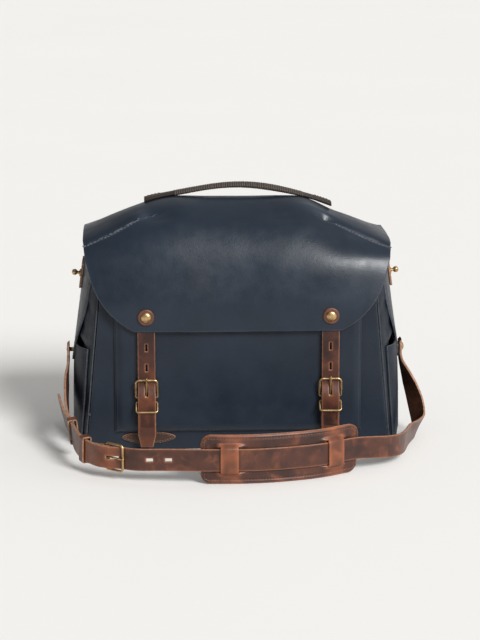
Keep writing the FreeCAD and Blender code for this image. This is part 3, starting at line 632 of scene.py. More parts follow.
def roof_grid(columns=232):
    """Grid of the hide's grain side, from the hem to the yoke's foot, and its wear with painted highlights."""
    close_to_hem = (0.0, 0.25, 0.7, 1.4, 2.4, 3.8, 5.6, 8.0)
    end = ROOF_RUN[-1]
    grid, wear_and_sheen = [], []
    for run in np.concatenate([close_to_hem, np.arange(10.0, end - 0.8, 1.7), [end]]):
        half = roof_half_width(run)
        xs = np.linspace(-half, half, columns + 1)
        low, flat, high = (np.array([roof_base(x, r) for x in xs]) for r in (max(run - 0.5, 0), run, min(run + 0.5, end)))
        normal = np.cross(np.gradient(flat, axis=0), high - low)
        normal /= np.linalg.norm(normal, axis=1, keepdims=True)
        lift = np.array([roof_relief(x, run) for x in xs])
        side_gap = half - np.abs(xs)
        rim = np.clip(np.minimum(side_gap, min(run, 60)) / 14.0, 0, 1)
        lift *= 0.35 + 0.65 * rim
        grid.append(flat + normal * lift[:, None])
        edge = np.minimum(side_gap, min(run, end - run))
        wear_and_sheen.append(0.22 * hill(edge, 1.2) + [dart_line_and_highlight(x, run) for x in xs])
    return np.array(grid), np.array(wear_and_sheen)


def on_roof(x, run):
    """A point on the hide's grain side and the outward direction there."""
    across = roof_base(x + 0.5, run) - roof_base(x - 0.5, run)
    normal = unit(np.cross(across, roof_base(x, run + 0.5) - roof_base(x, run - 0.5)))
    return roof_base(x, run) + normal * roof_relief(x, run), normal


def roof():
    """The flap and the yoke as one hide that bends at the ridge, with the darts' stitches and raised edges."""
    grid, wear_and_sheen = roof_grid()
    hide_obj = sheet_grid("roof_hide", grid, 2.3, NAVY_TOP_LOOK, wear_and_sheen, bevel=0.5)
    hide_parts("flap_panel", "yoke")
    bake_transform(hide_obj)
    paths = {word: resampled(DARTS[side][:3], 1.5) for word, side in SIDES}
    lines = [np.array([on_roof(x, run - 2.2) for x, run in path]) for path in paths.values()]
    lines = [(line[:, 0], line[:, 1]) for line in lines]
    seam("dart_stitches", "flap", "navy_leather", lines, 4.2, (3.3, 1.0), PALE_THREAD)
    for word, path in paths.items():
        band = []
        for (x, run), share in zip(path, np.linspace(0, 1, len(path))):
            point, normal = on_roof(x, run)
            below, _ = on_roof(x, run - 1.3)
            size = 0.4 + 0.6 * min(1.0, (1 - share) * 3)
            band.append([below + normal * 0.15 * size, point + normal * 0.9 * size, point + normal * 0.1])
        edge = sheet_grid(f"{word}_dart_edge", band, 0.5, (NAVY_EDGE, NAVY_EDGE, NAVY_EDGE), bevel=0)
        own(edge, "flap", "navy_leather")


# ---------------------------------------------------------------- shell

# Heights up the gusset, how far out its middle is there, and how far its pocket's middle stands off it.
LEVELS = np.array((
    (0.0, 184.0, 0.0), (15.0, 183.0, 4.0), (60.0, 179.0, 7.5), (90.0, 178.0, 7.7),
    (118.0, 176.5, 6.5), (170.0, 174.5, 3.0), (215.0, 171.5, 0.0), (245.0, 170.5, 0.0),
))
# The side wing's angle from upright.
LEAN = math.atan2(190.3 - 173.5, 215.0 - 92.0)


def gusset_x(depth, height):
    """How far out the gusset's inner face is, at a depth and a height."""
    top, tall = (310.0, 212.0) if depth < 0 else (344.0, 236.0)
    edge = (350.0 + (top - 350.0) * height / tall) / 2
    middle = np.interp(height, LEVELS[:, 0], LEVELS[:, 1])
    reach = min(abs(depth) / 67.5, 1.0)
    return edge + (middle - edge) * (1 - reach**3)


def facing(grid, outward):
    """The grid with its columns turned, if need be, so that its faces look outward."""
    run, across = grid[1, 0] - grid[0, 0], grid[0, 1] - grid[0, 0]
    return grid if np.cross(across, run).dot(outward) > 0 else grid[:, ::-1]


def foot_tuck(height):
    """How far a side panel turns under at its foot."""
    return 2.6 * clamp(1 - height / 6.0) ** 2


def roof_underside(side):
    """The line of (depth, height) just under the roof's edge, from front to back."""
    line = np.array([roof_base(side * 172.0, run)[1:] for run in np.arange(60.0, ROOF_RUN[-1], 2.0)])
    ahead = np.gradient(line, axis=0)
    inward = np.stack([ahead[:, 1], -ahead[:, 0]], axis=1) / np.linalg.norm(ahead, axis=1, keepdims=True)
    line += inward * 3.1
    line = line[line[:, 1] > 200.0]
    return line[np.argsort(line[:, 0])]


def gusset_point(side, share, depth, top):
    """A point a share of the way up a side wall, with soft creases above the pocket."""
    height = 0.3 + share * (top - 0.3)
    hold = 1 - min(abs(depth) / 67.4, 1.0) ** 4
    upper = clamp((height - 122) / 20) * clamp((226 - height) / 20)
    crease = 1.3 * math.sin((height + 5 * wave(depth, height, 0, 50, 3)) / 4.6) * upper
    fold = crease * min(max(-depth / 45, 0.15), 1) + 1.2 * upper * wave(depth, height, side, 45, 4)
    room = 173.0 + (215.0 - height) * math.tan(LEAN) - 176.9
    swell = max(room, 0.0) * clamp((height - 118) / 10) * (1 - min(abs(depth) / 52.0, 1.0) ** 2.5)
    out = gusset_x(depth, height) + 2.45 + hold * min(fold, 0.6) * 0.8 + 0.8 * swell
    return side * (out - foot_tuck(height)), depth, height


def gussets():
    """The side walls and their pockets."""
    for word, side in SIDES:
        under = roof_underside(side)
        tops = [(depth, np.interp(depth, *under.T)) for depth in np.linspace(-67.4, 69.7, 57)]
        grid = [[gusset_point(side, share, *pair) for pair in tops] for share in np.linspace(0, 1, 84)]
        grid = facing(np.array(grid), (side, 0, 0))
        # The darker wall leather here is painted shade on the gusset.
        panel = sheet_grid(f"{word}_gusset_wall", grid, 2.2, NAVY_WALL_SHADED_LOOK)
        own(panel, "bag", "navy_leather", f"{word}_gusset")
        side_pocket(word, side)


def side_pocket(word, side):
    """An open-topped pocket on the gusset, sewn at its sides and foot."""
    half, tall = 58.0, 117.3

    def cell(share, depth):
        middle = 1 - (depth / half) ** 2
        height = 0.4 + share * (tall - 0.4 - 2.2 * middle)
        belly = np.interp(height, LEVELS[:, 0], LEVELS[:, 2]) * (1 - (abs(depth) / half) ** 3)
        sag = 0.5 * wave(depth, height, side * 9, 40, 5) * middle
        out = gusset_x(depth, height) + 5.0 + belly + sag - foot_tuck(height)
        return (side * out, depth, height), 0.25 * hill(min(half - abs(depth), 117 - height), 1.1)

    grid, wear_and_sheen = surface(np.linspace(0, 1, 56), np.linspace(-half, half, 48), cell)
    out = np.array([side, 0.0, 0.0])
    # The darker wall leather here is painted shade on the side pocket.
    pocket = sheet_grid(f"{word}_side_pocket_wall", facing(grid, out), 2.3, NAVY_WALL_SHADED_LOOK, wear_and_sheen)
    own(pocket, "bag", "navy_leather", f"{word}_side_pocket")
    lines = [(resampled(grid[3:-1, column] + out * 0.1, 2.0), out) for column in (1, -2)]
    seam(f"{word}_side_pocket_stitches", "bag", "navy_leather", lines, 4.2, (3.0, 0.7), NAVY_THREAD)


def wall(name, half_low, half_high, height, y, facing_y, seed, node):
    """An upright panel with soft lower corners and slight waves."""
    corner, sag = 9.0, 0.8

    def point(z, u):
        half = half_low + (half_high - half_low) * z / height
        half -= 0.8 * (corner - math.sqrt(max(corner**2 - (corner - min(z, corner)) ** 2, 0.0)))
        push = sag * wave(u * half, z, 0, 70, seed) * (1 - u**4) * min(1.0, z / 20)
        return u * half, y + facing_y * (push if push < 0 else push * 0.4), z

    levels = 0.3 + np.linspace(0, 1, 72) * (height - 0.3)
    grid = np.array([[point(z, u) for u in np.linspace(-1, 1, 96)] for z in levels])
    own(sheet_grid(name, facing(grid, (0, facing_y, 0)), 2.3, NAVY_LOOK), "bag", "navy_leather", node)


def front_pocket():
    """The patch pocket: a pressed panel that swells from its sewn edge to its face."""
    half, low, high = 142.0, 22.0, 188.0
    roll, proud, base_y = 11.0, 6.0, -72.5

    def risen(gap):
        """How far the panel stands proud at a distance from its sewn edge."""
        return proud * (1 - (1 - min(gap / roll, 1.0)) ** 2.4)

    def cell(z, x):
        side_gap, foot_gap = half - abs(x), z - low
        gap = (side_gap**-3 + foot_gap**-3) ** (-1 / 3) if min(side_gap, foot_gap) > 0.01 else 0.0
        sag = 0.45 * wave(x, z, 0, 60, 7) * min(1.0, gap / 30)
        rim = min(side_gap, foot_gap)
        return (x, base_y - risen(gap) - min(sag, 0.0), z), 0.45 * hill(rim, 0.9) + 0.16 * hill(rim - 3, 1.2)

    edge = (1 - np.cos(np.linspace(0, math.pi / 2, 14))) * 16
    across = np.concatenate([-half + edge, np.linspace(-half + 18, half - 18, 100), half - edge[::-1]])
    up = np.concatenate([low + edge, np.linspace(low + 18, high, 74)])
    grid, wear_and_sheen = surface(up, across, cell)
    pocket = sheet_grid("front_pocket_panel", facing(grid, (0, -1, 0)), 2.3, NAVY_LOOK, wear_and_sheen, bevel=0.3)
    own(pocket, "bag", "navy_leather", "front_pocket")
    inset = 2.6
    left, right, foot, top = inset - half, half - inset, low + inset, high - 2
    line = resampled([(left, top), (left, foot), (right, foot), (right, top)], 2.0)
    path = np.array([(x, base_y - risen(inset) - 0.05, z) for x, z in line])
    lines = [(path, (0.0, -1.0, 0.0))]
    seam("front_pocket_stitches", "bag", "navy_leather", lines, 3.8, (2.8, 0.65), NAVY_THREAD)


def base():
    """The base panel."""
    corners = [(-171, -67.3), (171, -67.3), (179, -35), (179, 35)]
    corners += [(171, 67.3), (-171, 67.3), (-179, 35), (-179, -35)]
    panel = plate("base_sheet", corners, (0, 0, 0.0), (1, 0, 0), (0, -1, 0), 2.4, NAVY_LOOK)
    own(panel, "bag", "navy_leather", "base_panel")


def shell():
    """The bag's body: front, back, ends, pockets and base."""
    wall("front_wall", 175.0, 155.0, 212.0, -70.0, -1, 6, "front_panel")
    wall("back_wall", 175.0, 172.0, 236.0, 70.0, 1, 8, "back_panel")
    gussets()
    front_pocket()
    base()


# ---------------------------------------------------------------- side fittings

# Turned profiles as (radius, height) from the foot to the tip.
STUD_PROFILE = (
    (0, 5.0), (4.5, 5.0), (4.5, 5.5), (4.4, 6.1), (3.4, 6.6), (2.2, 7.0), (1.75, 7.6), (1.75, 8.9), (2.1, 9.3),
    (2.9, 10.0), (3.4, 11.0), (3.5, 12.1), (3.45, 13.2), (3.0, 14.2), (2.2, 14.9), (1.2, 15.3), (0, 15.4),
)
ANCHOR_PROFILE = (
    (0, 0), (4, 0), (4, 0.8), (2.5, 0.8), (2.5, 8.8), (5.4, 8.8), (5.5, 8.9), (5.4, 9.2), (4.5, 10.2),
    (3.2, 11.1), (1.6, 11.7), (0, 11.9),
)
STUD_HEIGHT, WING_TIP, WING_TOP = 195.0, 92.0, 215.0
ANCHOR_BACK, ANCHOR_HEIGHT = 187.4, 104.0


def wing_spot(side, height):
    """Origin on a wing's face at a height, with its outward, across and up directions."""
    x = 173.5 + (215.0 - height) * math.tan(LEAN)
    out = np.array([side * math.cos(LEAN), 0.0, math.sin(LEAN)])
    up = np.array([-side * math.sin(LEAN), 0.0, math.cos(LEAN)])
    return np.array([side * x, 0.0, height]), out, up


def side_fittings():
    """Each end's wing, stud tab, ball stud and anchor rivet."""
    for word, side in SIDES:
        origin, out, up = wing_spot(side, STUD_HEIGHT)

        def place(pairs, lift):
            return np.array([origin + out * lift + np.array([0, y, 0]) + up * z for y, z in pairs])

        low = WING_TIP - STUD_HEIGHT
        edge = [(6, low), (10, low + 3.5), (14, low + 12), (31, -67), (45, -35), (49, -16), (52, WING_TOP - STUD_HEIGHT)]
        edge = smooth_line(edge, 2.0)
        outline = np.vstack([edge, (edge * (-1, 1))[::-1]])
        wing = curved_plate(f"{word}_wing", outline, origin + out * 2.5, up, out, NAVY_LOOK)
        own(wrap(wing, side), "bag", "navy_leather", f"{word}_side_wing")
        inner = resampled(edge * (0.93, 0.985) + (0, 1.2), 2.0)
        lines = [(place(inner * (flip, 1), 2.6), out) for flip in (-1, 1)]
        thread_line = stitches(f"{word}_wing_stitches", lines, 4.4, (3.1, 0.7), NAVY_THREAD)
        own(wrap(thread_line, side), "bag", "navy_leather")
        tab = rounded_outline(((-14, -16), (14, -16), (14, 18), (-14, 18)), 3.0)
        patch = curved_plate(f"{word}_stud_patch", tab, origin + out * 4.95, up, out, BROWN_LOOK)
        own(patch, "bag", "brown_leather", f"{word}_stud_tab")
        lines = [(place(resampled(np.array(tab + tab[:1]) * 0.8, 1.5), 5.0), out)]
        seam(f"{word}_stud_patch_stitches", "bag", "brown_leather", lines, 3.6, (2.5, 0.7), BROWN_THREAD)
        stud = lathe(f"{word}_ball_stud", STUD_PROFILE, origin, out, BRASS)
        own(stud, "bag", "antique_brass", f"{word}_stud")
        anchor = (side * ANCHOR_BACK, 0, ANCHOR_HEIGHT)
        rivet = lathe(f"{word}_anchor_dome", ANCHOR_PROFILE, anchor, (side, 0, 0), BRASS)
        own(rivet, "bag", "antique_brass", f"{word}_anchor_rivet")


def rounded_outline(corners, radius, steps=5):
    """A polygon with its corners rounded."""
    corners = np.array(corners, dtype=float)
    outline = []
    for before, corner, after in zip(np.roll(corners, 1, axis=0), corners, np.roll(corners, -1, axis=0)):
        a, b = (corner + unit(end - corner) * radius for end in (before, after))
        outline += [(1 - t) ** 2 * a + 2 * t * (1 - t) * corner + t**2 * b for t in np.linspace(0, 1, steps)]
    return outline


def wrap(obj, side):
    """Bend a side piece in towards the front and back, more so higher up."""
    for vertex in obj.data.vertices:
        x, y, z = vertex.co / MM
        bend = 9.0 * clamp((z - 95.0) / 60.0) * min(abs(y) / 50.0, 1.1) ** 2.2
        vertex.co.x = (x - side * bend) * MM
    return obj


def curved_plate(name, outline, origin, up, out, look):
    """A plate in the plane of Y and up, grain side outwards."""
    turn = 1.0 if np.cross((0.0, 1.0, 0.0), up).dot(out) > 0 else -1.0
    outline = [(y * turn, z) for y, z in outline]
    return plate(name, outline, origin, (0.0, turn, 0.0), up, 2.4, look)


# ---------------------------------------------------------------- handle


HANDLE_Y, HANDLE_WIDTH = 8.0, 18.0
# Places along the handle and the heights there of its top and of its underside.
HANDLE_UPPER = resampled(smooth_line([
    (-106.5, 283.2), (-94, 286.3), (-80, 288.9), (-66, 291.5), (-42, 295.7), (-20, 298.9), (4, 300.3),
    (28, 299.0), (50, 295.3), (66, 291.4), (80, 287.6), (94, 283.4), (112, 277.2)], 1.2), 0.5)
HANDLE_LOWER = resampled(smooth_line([
    (-106.5, 277.6), (-94, 281.2), (-80, 283.9), (-66, 286.1), (-36, 291.4), (-6, 294.2), (13, 293.9),
    (40, 290.6), (66, 285.8), (80, 282.4), (94, 278.0), (112, 271.4)], 1.2), 0.5)


def handle_cell(share, turn):
    """A point round the handle, a share of the way along it: rounded in the middle, flat at the feet."""
    a, b = (line[int(share * (len(line) - 1))] for line in (HANDLE_UPPER, HANDLE_LOWER))
    middle, up = (a + b) / 2, (a - b) / 2
    flat = clamp((abs(share - 0.5) - 0.40) / 0.05)
    c, s = math.cos(turn), math.sin(turn)
    across = math.copysign(abs(c) ** (2 / (2.8 + 0.6 * flat)), c) * HANDLE_WIDTH / 2 * (0.97 + 0.03 * flat)
    lift = math.copysign(abs(s) ** (2 / (2.2 + 1.6 * flat)), s)
    # The second value makes the rounded middle paler over its upper half.
    return (middle[0] + up[0] * lift, HANDLE_Y + across, middle[1] + up[1] * lift), 0.25 * (1 - flat) * max(0.0, s)


def handle():
    """The arched handle: a leather cover whipped with thread over a core, between two flat feet."""
    count, sides = 190, 32
    grid, wear_and_sheen = surface(np.linspace(0, 1, count), np.arange(sides) * 2 * math.pi / sides, handle_cell)
    faces = grid_faces(count, sides, None, True)[:, ::-1].tolist()
    faces += [range(sides), range(count * sides - 1, (count - 1) * sides - 1, -1)]
    cover = make_mesh("handle_leather", grid.reshape(-1, 3), faces, [HANDLE_TOP], None, wear_and_sheen.ravel())
    own(bevelled(cover, 0.5, 0), "bag", "brown_leather", "handle_cover", "handle_core")
    whipping(grid)
    lines = []
    for along in (-0.95, 1.0):
        for edge in (-6.2, 6.2):
            at = np.linspace(92, 109, 12) * along
            path = np.stack([at, np.full(12, HANDLE_Y + edge), np.interp(at, *HANDLE_UPPER.T) + 0.05], axis=1)
            lines.append((path, (0.0, 0.0, 1.0)))
    seam("handle_foot_stitches", "bag", "brown_leather", lines, 3.4, (2.6, 0.7), DARK_THREAD)


def whipping(grid):
    """Turns of thread round the handle, each over the top from one lower edge to the other."""
    count, sides = grid.shape[:2]
    arc, girth = 28, 8
    ring = grid_faces(arc, girth, None, True)
    points, quads = [], []
    for at in np.arange(0.165, 0.845, 0.0118) * (count - 1):
        k, part = int(at), at % 1
        row = grid[k] * (1 - part) + grid[k + 1] * part
        centre = row.mean(axis=0)
        ahead = unit(grid[k + 1].mean(axis=0) - grid[k].mean(axis=0))
        quads += (ring + len(points)).tolist()
        for j in range(arc):
            p = row[(sides - 6 + j) % sides]
            slant = ahead * 1.1 * (j / arc - 0.5)
            out = unit(p - centre)
            for turn in np.arange(girth) * 2 * math.pi / girth:
                points.append(p + slant + out * (0.1 + 0.62 * math.cos(turn)) + ahead * 0.95 * math.sin(turn))
    own(make_mesh("handle_whipping", points, quads, [DARK_THREAD]), "bag", "brown_leather")


# ---------------------------------------------------------------- strips of leather


def slot_ends(slots):
    """Where slots, each (middle, length, half width), begin and end along their strip."""
    return sorted({m for middle, length, _ in slots for m in (middle - length / 2, middle + length / 2)})


def slot_sides(slots):
    return sorted({w for _, _, w in slots} | {-w for _, _, w in slots})


def slot_wear(slots, along, across, reach):
    """How rubbed the leather is round its slots."""
    gaps = (math.hypot(max(abs(along - m) - l / 2, 0), max(abs(across) - w, 0)) for m, l, w in slots)
    return sum(0.45 * hill(gap, reach) for gap in gaps)


def slotted(name, rows, across, slots, cell, outward, thickness, look):
    """A strip of cell(row, across) points with its slots left open."""
    def keep(i, j):
        a, b = (rows[i] + rows[i + 1]) / 2, (across[j] + across[j + 1]) / 2
        return not any(abs(a - middle) < length / 2 and abs(b) < width for middle, length, width in slots)

    grid, tone = surface(range(len(rows)), across, cell)
    points = grid.reshape(-1, 3)
    faces = turned(points, grid_faces(len(rows), len(across), keep), outward)
    return hide(name, points, faces, thickness, look, np.minimum(tone, 1.0).ravel(), 0.3)


def turned(points, faces, outward):
    """The faces, turned if need be, so that the first looks outward."""
    a, b, c, d = points[faces[0]]
    return faces[:, ::-1] if np.cross(c - a, d - b).dot(outward) < 0 else faces


def strip(name, line, half_width, thickness, place, look, slots, wear_and_sheen, taper):
    """A straight strip of leather: its grain side's (along, out) line, with slots (middle, length, half width)."""
    path = resampled(line, 1.0)
    path = path[np.argsort(path[:, 0])]
    marks = slot_ends(slots)
    rows = [p for p in path if all(abs(p[0] - m) > 0.4 for m in marks)]
    rows += [(m, np.interp(m, *path.T)) for m in marks]
    rows = np.array(sorted(rows, key=lambda p: p[0]))
    edges = slot_sides(slots)
    across = sorted(set(np.round(np.linspace(-1, 1, 19) * half_width, 3)) | set(edges))
    across = np.array([a for a in across if a in edges or all(abs(a - e) > 0.5 for e in edges)])

    def cell(i, a):
        along, out = rows[i]
        tone = 0.55 * hill(half_width - abs(a), 0.9) + wear_and_sheen(along, a) + slot_wear(slots, along, a, 1.1)
        return place(a * taper(along), along, out), tone

    outward = np.array(place(0, 0, 1.0)) - np.array(place(0, 0, 0.0))
    return slotted(name, rows[:, 0], across, slots, cell, outward, thickness, look)


def loop_strip(name, line, half_width, place, look, keep):
    """A thin strip that turns back on itself: its grain side's (along, out) line, outwards to its left."""
    path = smooth_line(line, 0.7)
    across = np.array([-1, -0.93, -0.75, -0.5, -0.231, 0, 0.231, 0.5, 0.75, 0.93, 1]) * half_width
    grid = np.array([[place(a, along, out) for a in across] for along, out in path])
    cells = grid_faces(len(path), len(across), lambda i, j: keep(path[i], (across[j] + across[j + 1]) / 2))
    tone = np.tile(0.5 * hill(half_width - np.abs(across), 0.9), (len(path), 1))
    return hide(name, grid.reshape(-1, 3), cells, 1.3, look, tone.ravel(), 0.25)


# ---------------------------------------------------------------- closures

CLOSURE_X, PIVOT_Y, PIVOT_Z = 105.5, -83.4, 65.9
RIVET_HEIGHT, FLAP_FACE, POCKET_FACE, PATCH_HEIGHT = 160.4, -87.0, -72.5, 15.5
# Lines of (up, out) from the buckle's pivot: the closure strap's grain side, and the buckle tab's.
CLOSURE_LINE = (
    (-59.2, 0.9), (-53, 0.9), (-47.5, 1.1), (-43, 3.0), (-38.5, 5.6), (-33, 6.1), (-20, 6.1), (-8, 6.1),
    (-1, 6.25), (4.5, 5.2), (10, 3.0), (15, 1.5), (20, 1.1), (30, 1.1), (60, 1.1), (101.4, 1.1),
)
TAB_LINE = (
    (-34, -2.2), (-10, -2.2), (-4, -2.6), (0, -3.15), (2.3, -2.25), (3.15, 0), (2.3, 2.25), (0, 3.15),
    (-3.2, 2.0), (-7, 1.3), (-18, 1.3), (-36, 1.3), (-41.5, 1.1), (-45, -1.0), (-49, -3.3), (-55, -3.35),
    (-60, -3.3),
)
CLOSURE_SLOTS = ((34.7, 8.6, 1.3), (58.3, 8.6, 1.3), (8.1, 13.8, 1.75))
# Turned profiles as (radius, height) from the flap's face.
WASHER_PROFILE = (
    (0, -0.1), (9.3, -0.1), (9.5, 0.3), (9.45, 1.2), (9.0, 1.75), (8.3, 1.95), (6.5, 2.0), (2, 2.0),
)
DOME_PROFILE = (
    (1.98, 0), (1.98, 2.0), (5.6, 2.0), (6.0, 2.15), (6.05, 2.6), (5.8, 3.2), (5.0, 3.95), (3.8, 4.5),
    (2.2, 4.85), (0.8, 4.98), (0, 5.0),
)
RIVET_BACK_PROFILE = ((0, -5.6), (4.7, -5.6), (5.0, -5.4), (5.0, -5.0), (1.98, -5.0), (1.98, 0))


def closure_wear_and_highlight(along, across, x):
    """Paler where it bends, as pull-up colour with a painted highlight over the bulges, and rubbed below the keeper
    round the dark print of a press.
    """
    # The bend terms are pull-up colour with a painted highlight where the strap bulges round the buckle.
    bend = 0.16 * hill(along + 3, 9) + 0.14 * hill(along - 12, 5)
    below = 0.16 * clamp((-14 - along) / 6)
    printed = clamp(7.2 - abs(across)) * clamp(7.6 - abs(along + 26.5))
    bend *= 0.7 + 0.3 * math.cos(across / 6)
    return bend + below * (1 - printed) - 0.6 * printed + 0.12 * wave(across, along, x, 14, 11)


def closures():
    """Each side's closure strap, buckle tab, rivet with its washer, and anchor patch."""
    for word, side in SIDES:
        x = side * CLOSURE_X

        def place(across, along, out):
            return x + across, PIVOT_Y - out, PIVOT_Z + along

        def tab_place(across, along, out):
            return place(across * (1.0 - 3.4 / 10.3 * max(-45 - along, 0.0) / 15), along, out)

        upper = strip(
            f"{word}_closure_upper", smooth_line(CLOSURE_LINE, 1.0), 9.9, 2.4, place, CLOSURE_LOOK, CLOSURE_SLOTS,
            lambda along, across: closure_wear_and_highlight(along, across, x), lambda along: 1.0 - 0.3 * max(-45 - along, 0.0) / 14.5,
        )
        own(upper, "flap", "brown_leather", f"{word}_closure_strap")
        lower = loop_strip(
            f"{word}_closure_lower", TAB_LINE, 10.3, tab_place, DARK_LOOK, lambda p, a: abs(a) >= 2.4 or p[0] <= -3.4
        )
        own(lower, "flap", "brown_leather", f"{word}_buckle_tab")
        for piece, profile, lift, look, slot, nodes in (
            ("leather_washer", WASHER_PROFILE, 0.1, WASHER, "brown_leather", ["rivet_washer"]),
            ("rivet_dome", DOME_PROFILE, 0.0, BRASS, "antique_brass", ["flap_rivet"]),
            ("rivet_back", RIVET_BACK_PROFILE, 0.0, BRASS, "antique_brass", []),
        ):
            turned_piece = lathe(f"{word}_{piece}", profile, (x, FLAP_FACE - lift, RIVET_HEIGHT), (0, -1, 0), look)
            own(turned_piece, "flap", slot, *(f"{word}_{node}" for node in nodes))
        patch(word, side)


def patch(word, side):
    """The pointed patch that the closure's press stud is set in."""
    x = side * (CLOSURE_X - 2)
    us = np.linspace(0, math.pi, 22)
    outline = [(-31 * math.cos(u), 6.2 * math.sin(u) ** 1.15) for u in us]
    outline += [(31 * math.cos(u), -7.5 * math.sin(u) ** 1.15) for u in us[1:-1]]
    outline = np.array(outline)
    piece = plate(
        f"{word}_patch", outline + (x, PATCH_HEIGHT), (0, POCKET_FACE + 0.05, 0), (1, 0, 0), (0, 0, 1), 2.4, DARK_LOOK
    )
    own(piece, "bag", "brown_leather", f"{word}_anchor_patch")
    rim = resampled(np.vstack([outline, outline[:1]]) * (0.88, 0.74) + (x, PATCH_HEIGHT), 1.5)
    lines = [(np.array([(a, POCKET_FACE, b) for a, b in rim]), (0.0, -1.0, 0.0))]
    seam(f"{word}_patch_stitches", "bag", "brown_leather", lines, 3.0, (2.2, 0.65), BROWN_THREAD)


# ---------------------------------------------------------------- shoulder strap

# The buckle's pivot on the strap's middle line, the strap's heading there, and the straight stretch about it.
PIVOT, HEADING, UP = np.array([-150.0, -187.0, 26.5]), unit(np.array([0.860, -0.510, 0.0])), np.array([0.0, 0.0, 1.0])
STRAIGHT = (-5.0, 30.0)
STRAP_HALF = 12.4
# Rows of the strap's route: a point on its middle line and the direction of its width.
LEFT_ROUTE = (
    (-194.5, 2, 111, 0, -0.95, 0.3), (-194.5, 0, 104, 0, -0.95, 0.3), (-194.5, -2.5, 96, 0, -0.95, 0.3),
    (-195.3, -8.5, 82, 0, -0.9, 0.4), (-196.3, -18, 71, -0.1, -0.8, 0.5), (-196.5, -35, 60, -0.1, -0.75, 0.6),
    (-194.5, -65, 43, -0.1, -0.5, 0.8), (-188.5, -98, 33, -0.1, -0.2, 0.95), (-182.8, -130, 30, 0, 0, 1),
    (-174.0, -158, 27.5, 0, 0, 1),
)
RIGHT_ROUTE = (
    (-95, -209.5, 27.5, 0, 0, 1), (-60, -214.5, 28.2, 0, 0, 1), (-20, -217, 28.2, 0, 0, 1), (20, -215.5, 28.2, 0, 0, 1),
    (60, -207, 28.2, 0, 0, 1), (95, -193.5, 28.2, 0, 0, 1), (128, -174, 28.2, 0, 0, 1), (158, -158.5, 25, 0, 0, 1),
    (181, -134, 21, 0, 0, 1), (197, -85, 19, 0.1, -0.05, 1), (211, -48, 16.5, 0.25, -0.3, 0.9),
    (216, -18, 22, 0.5, -0.6, 0.6), (213, -4, 40, 0.64, -0.77, 0.1), (207.5, 0, 58, 0.55, -0.8, 0),
    (201, 1, 76, 0.3, -0.93, 0), (196, 0.5, 90, 0.05, -1, 0), (194.5, 0, 98, 0, -1, 0), (194.5, 0, 104, 0, -1, 0),
    (194.5, 0, 111, 0, -1, 0),
)


def straight_rows(first):
    """Three rows 10 mm apart on the straight stretch."""
    return tuple((*(PIVOT + HEADING * (first + 10 * k)), 0, 0, 1) for k in range(3))


class Route:
    """A curve through the rows, measured along its length."""

    def __init__(self, rows):
        self.rows = np.array(rows, dtype=float)
        knots, value = natural_spline(self.rows[:, :3])
        fine = np.linspace(0, knots[-1], 3000)
        self.points = value(fine)
        self.run = lengths(self.points)
        self.reached = np.interp(knots, fine, self.run)

    def frame(self, travelled):
        travelled = min(max(travelled, 0.0), self.run[-1])
        point, before, after = (between(travelled + d, self.run, self.points) for d in (0.0, -0.5, 0.5))
        return point, unit(after - before), between(travelled, self.reached, self.rows[:, 3:])


LEFT = Route(LEFT_ROUTE + straight_rows(STRAIGHT[0]))
RIGHT = Route(straight_rows(STRAIGHT[1] - 20) + RIGHT_ROUTE)
LEFT_START = STRAIGHT[0] - LEFT.reached[-3]
LEFT_END = LEFT_START + LEFT.reached[1]
RIGHT_START = STRAIGHT[1] - RIGHT.reached[2]
RIGHT_END = RIGHT_START + RIGHT.reached[-2]


def strap_frame(distance):
    """Middle point, heading, upward width direction and outward normal of the strap at a distance."""
    if STRAIGHT[0] <= distance <= STRAIGHT[1]:
        point, heading, width = PIVOT + HEADING * distance, HEADING, UP
    elif distance < STRAIGHT[0]:
        point, heading, width = LEFT.frame(distance - LEFT_START)
    else:
        point, heading, width = RIGHT.frame(distance - RIGHT_START)
    width = unit(width - heading * width.dot(heading))
    return point, heading, width, np.cross(heading, width)


def on_strap(distance, across, out):
    """A point in the strap's own frame."""
    point, _, width, outward = strap_frame(distance)
    return point + width * across + outward * out


# How far out of the route the long strap's middle lies, by distance: it passes over the short strap and the buckle.
TAIL_TIP = -166.0
LAYER = np.array((
    (TAIL_TIP, 11.5), (-140, 7.0), (-104, 3.7), (-60, 3.7), (-20, 3.7), (-8, 5.0), (4, 5.0), (10, 3.4),
    (19, -0.1), (32, -0.3), (60, 0.0),
))
LONG_SLOTS = ((8.9, 14.6, 1.9), (52.0, 7.6, 1.9), (73.0, 7.6, 1.9))
# Distances and reaches of the places where the strap bends, and how much paler it is there: pull-up colour with a
# painted highlight.
BENDS = ((-35, 26, 0.45), (8, 9, 0.3), (500, 16, 0.5), (545, 18, 0.25))


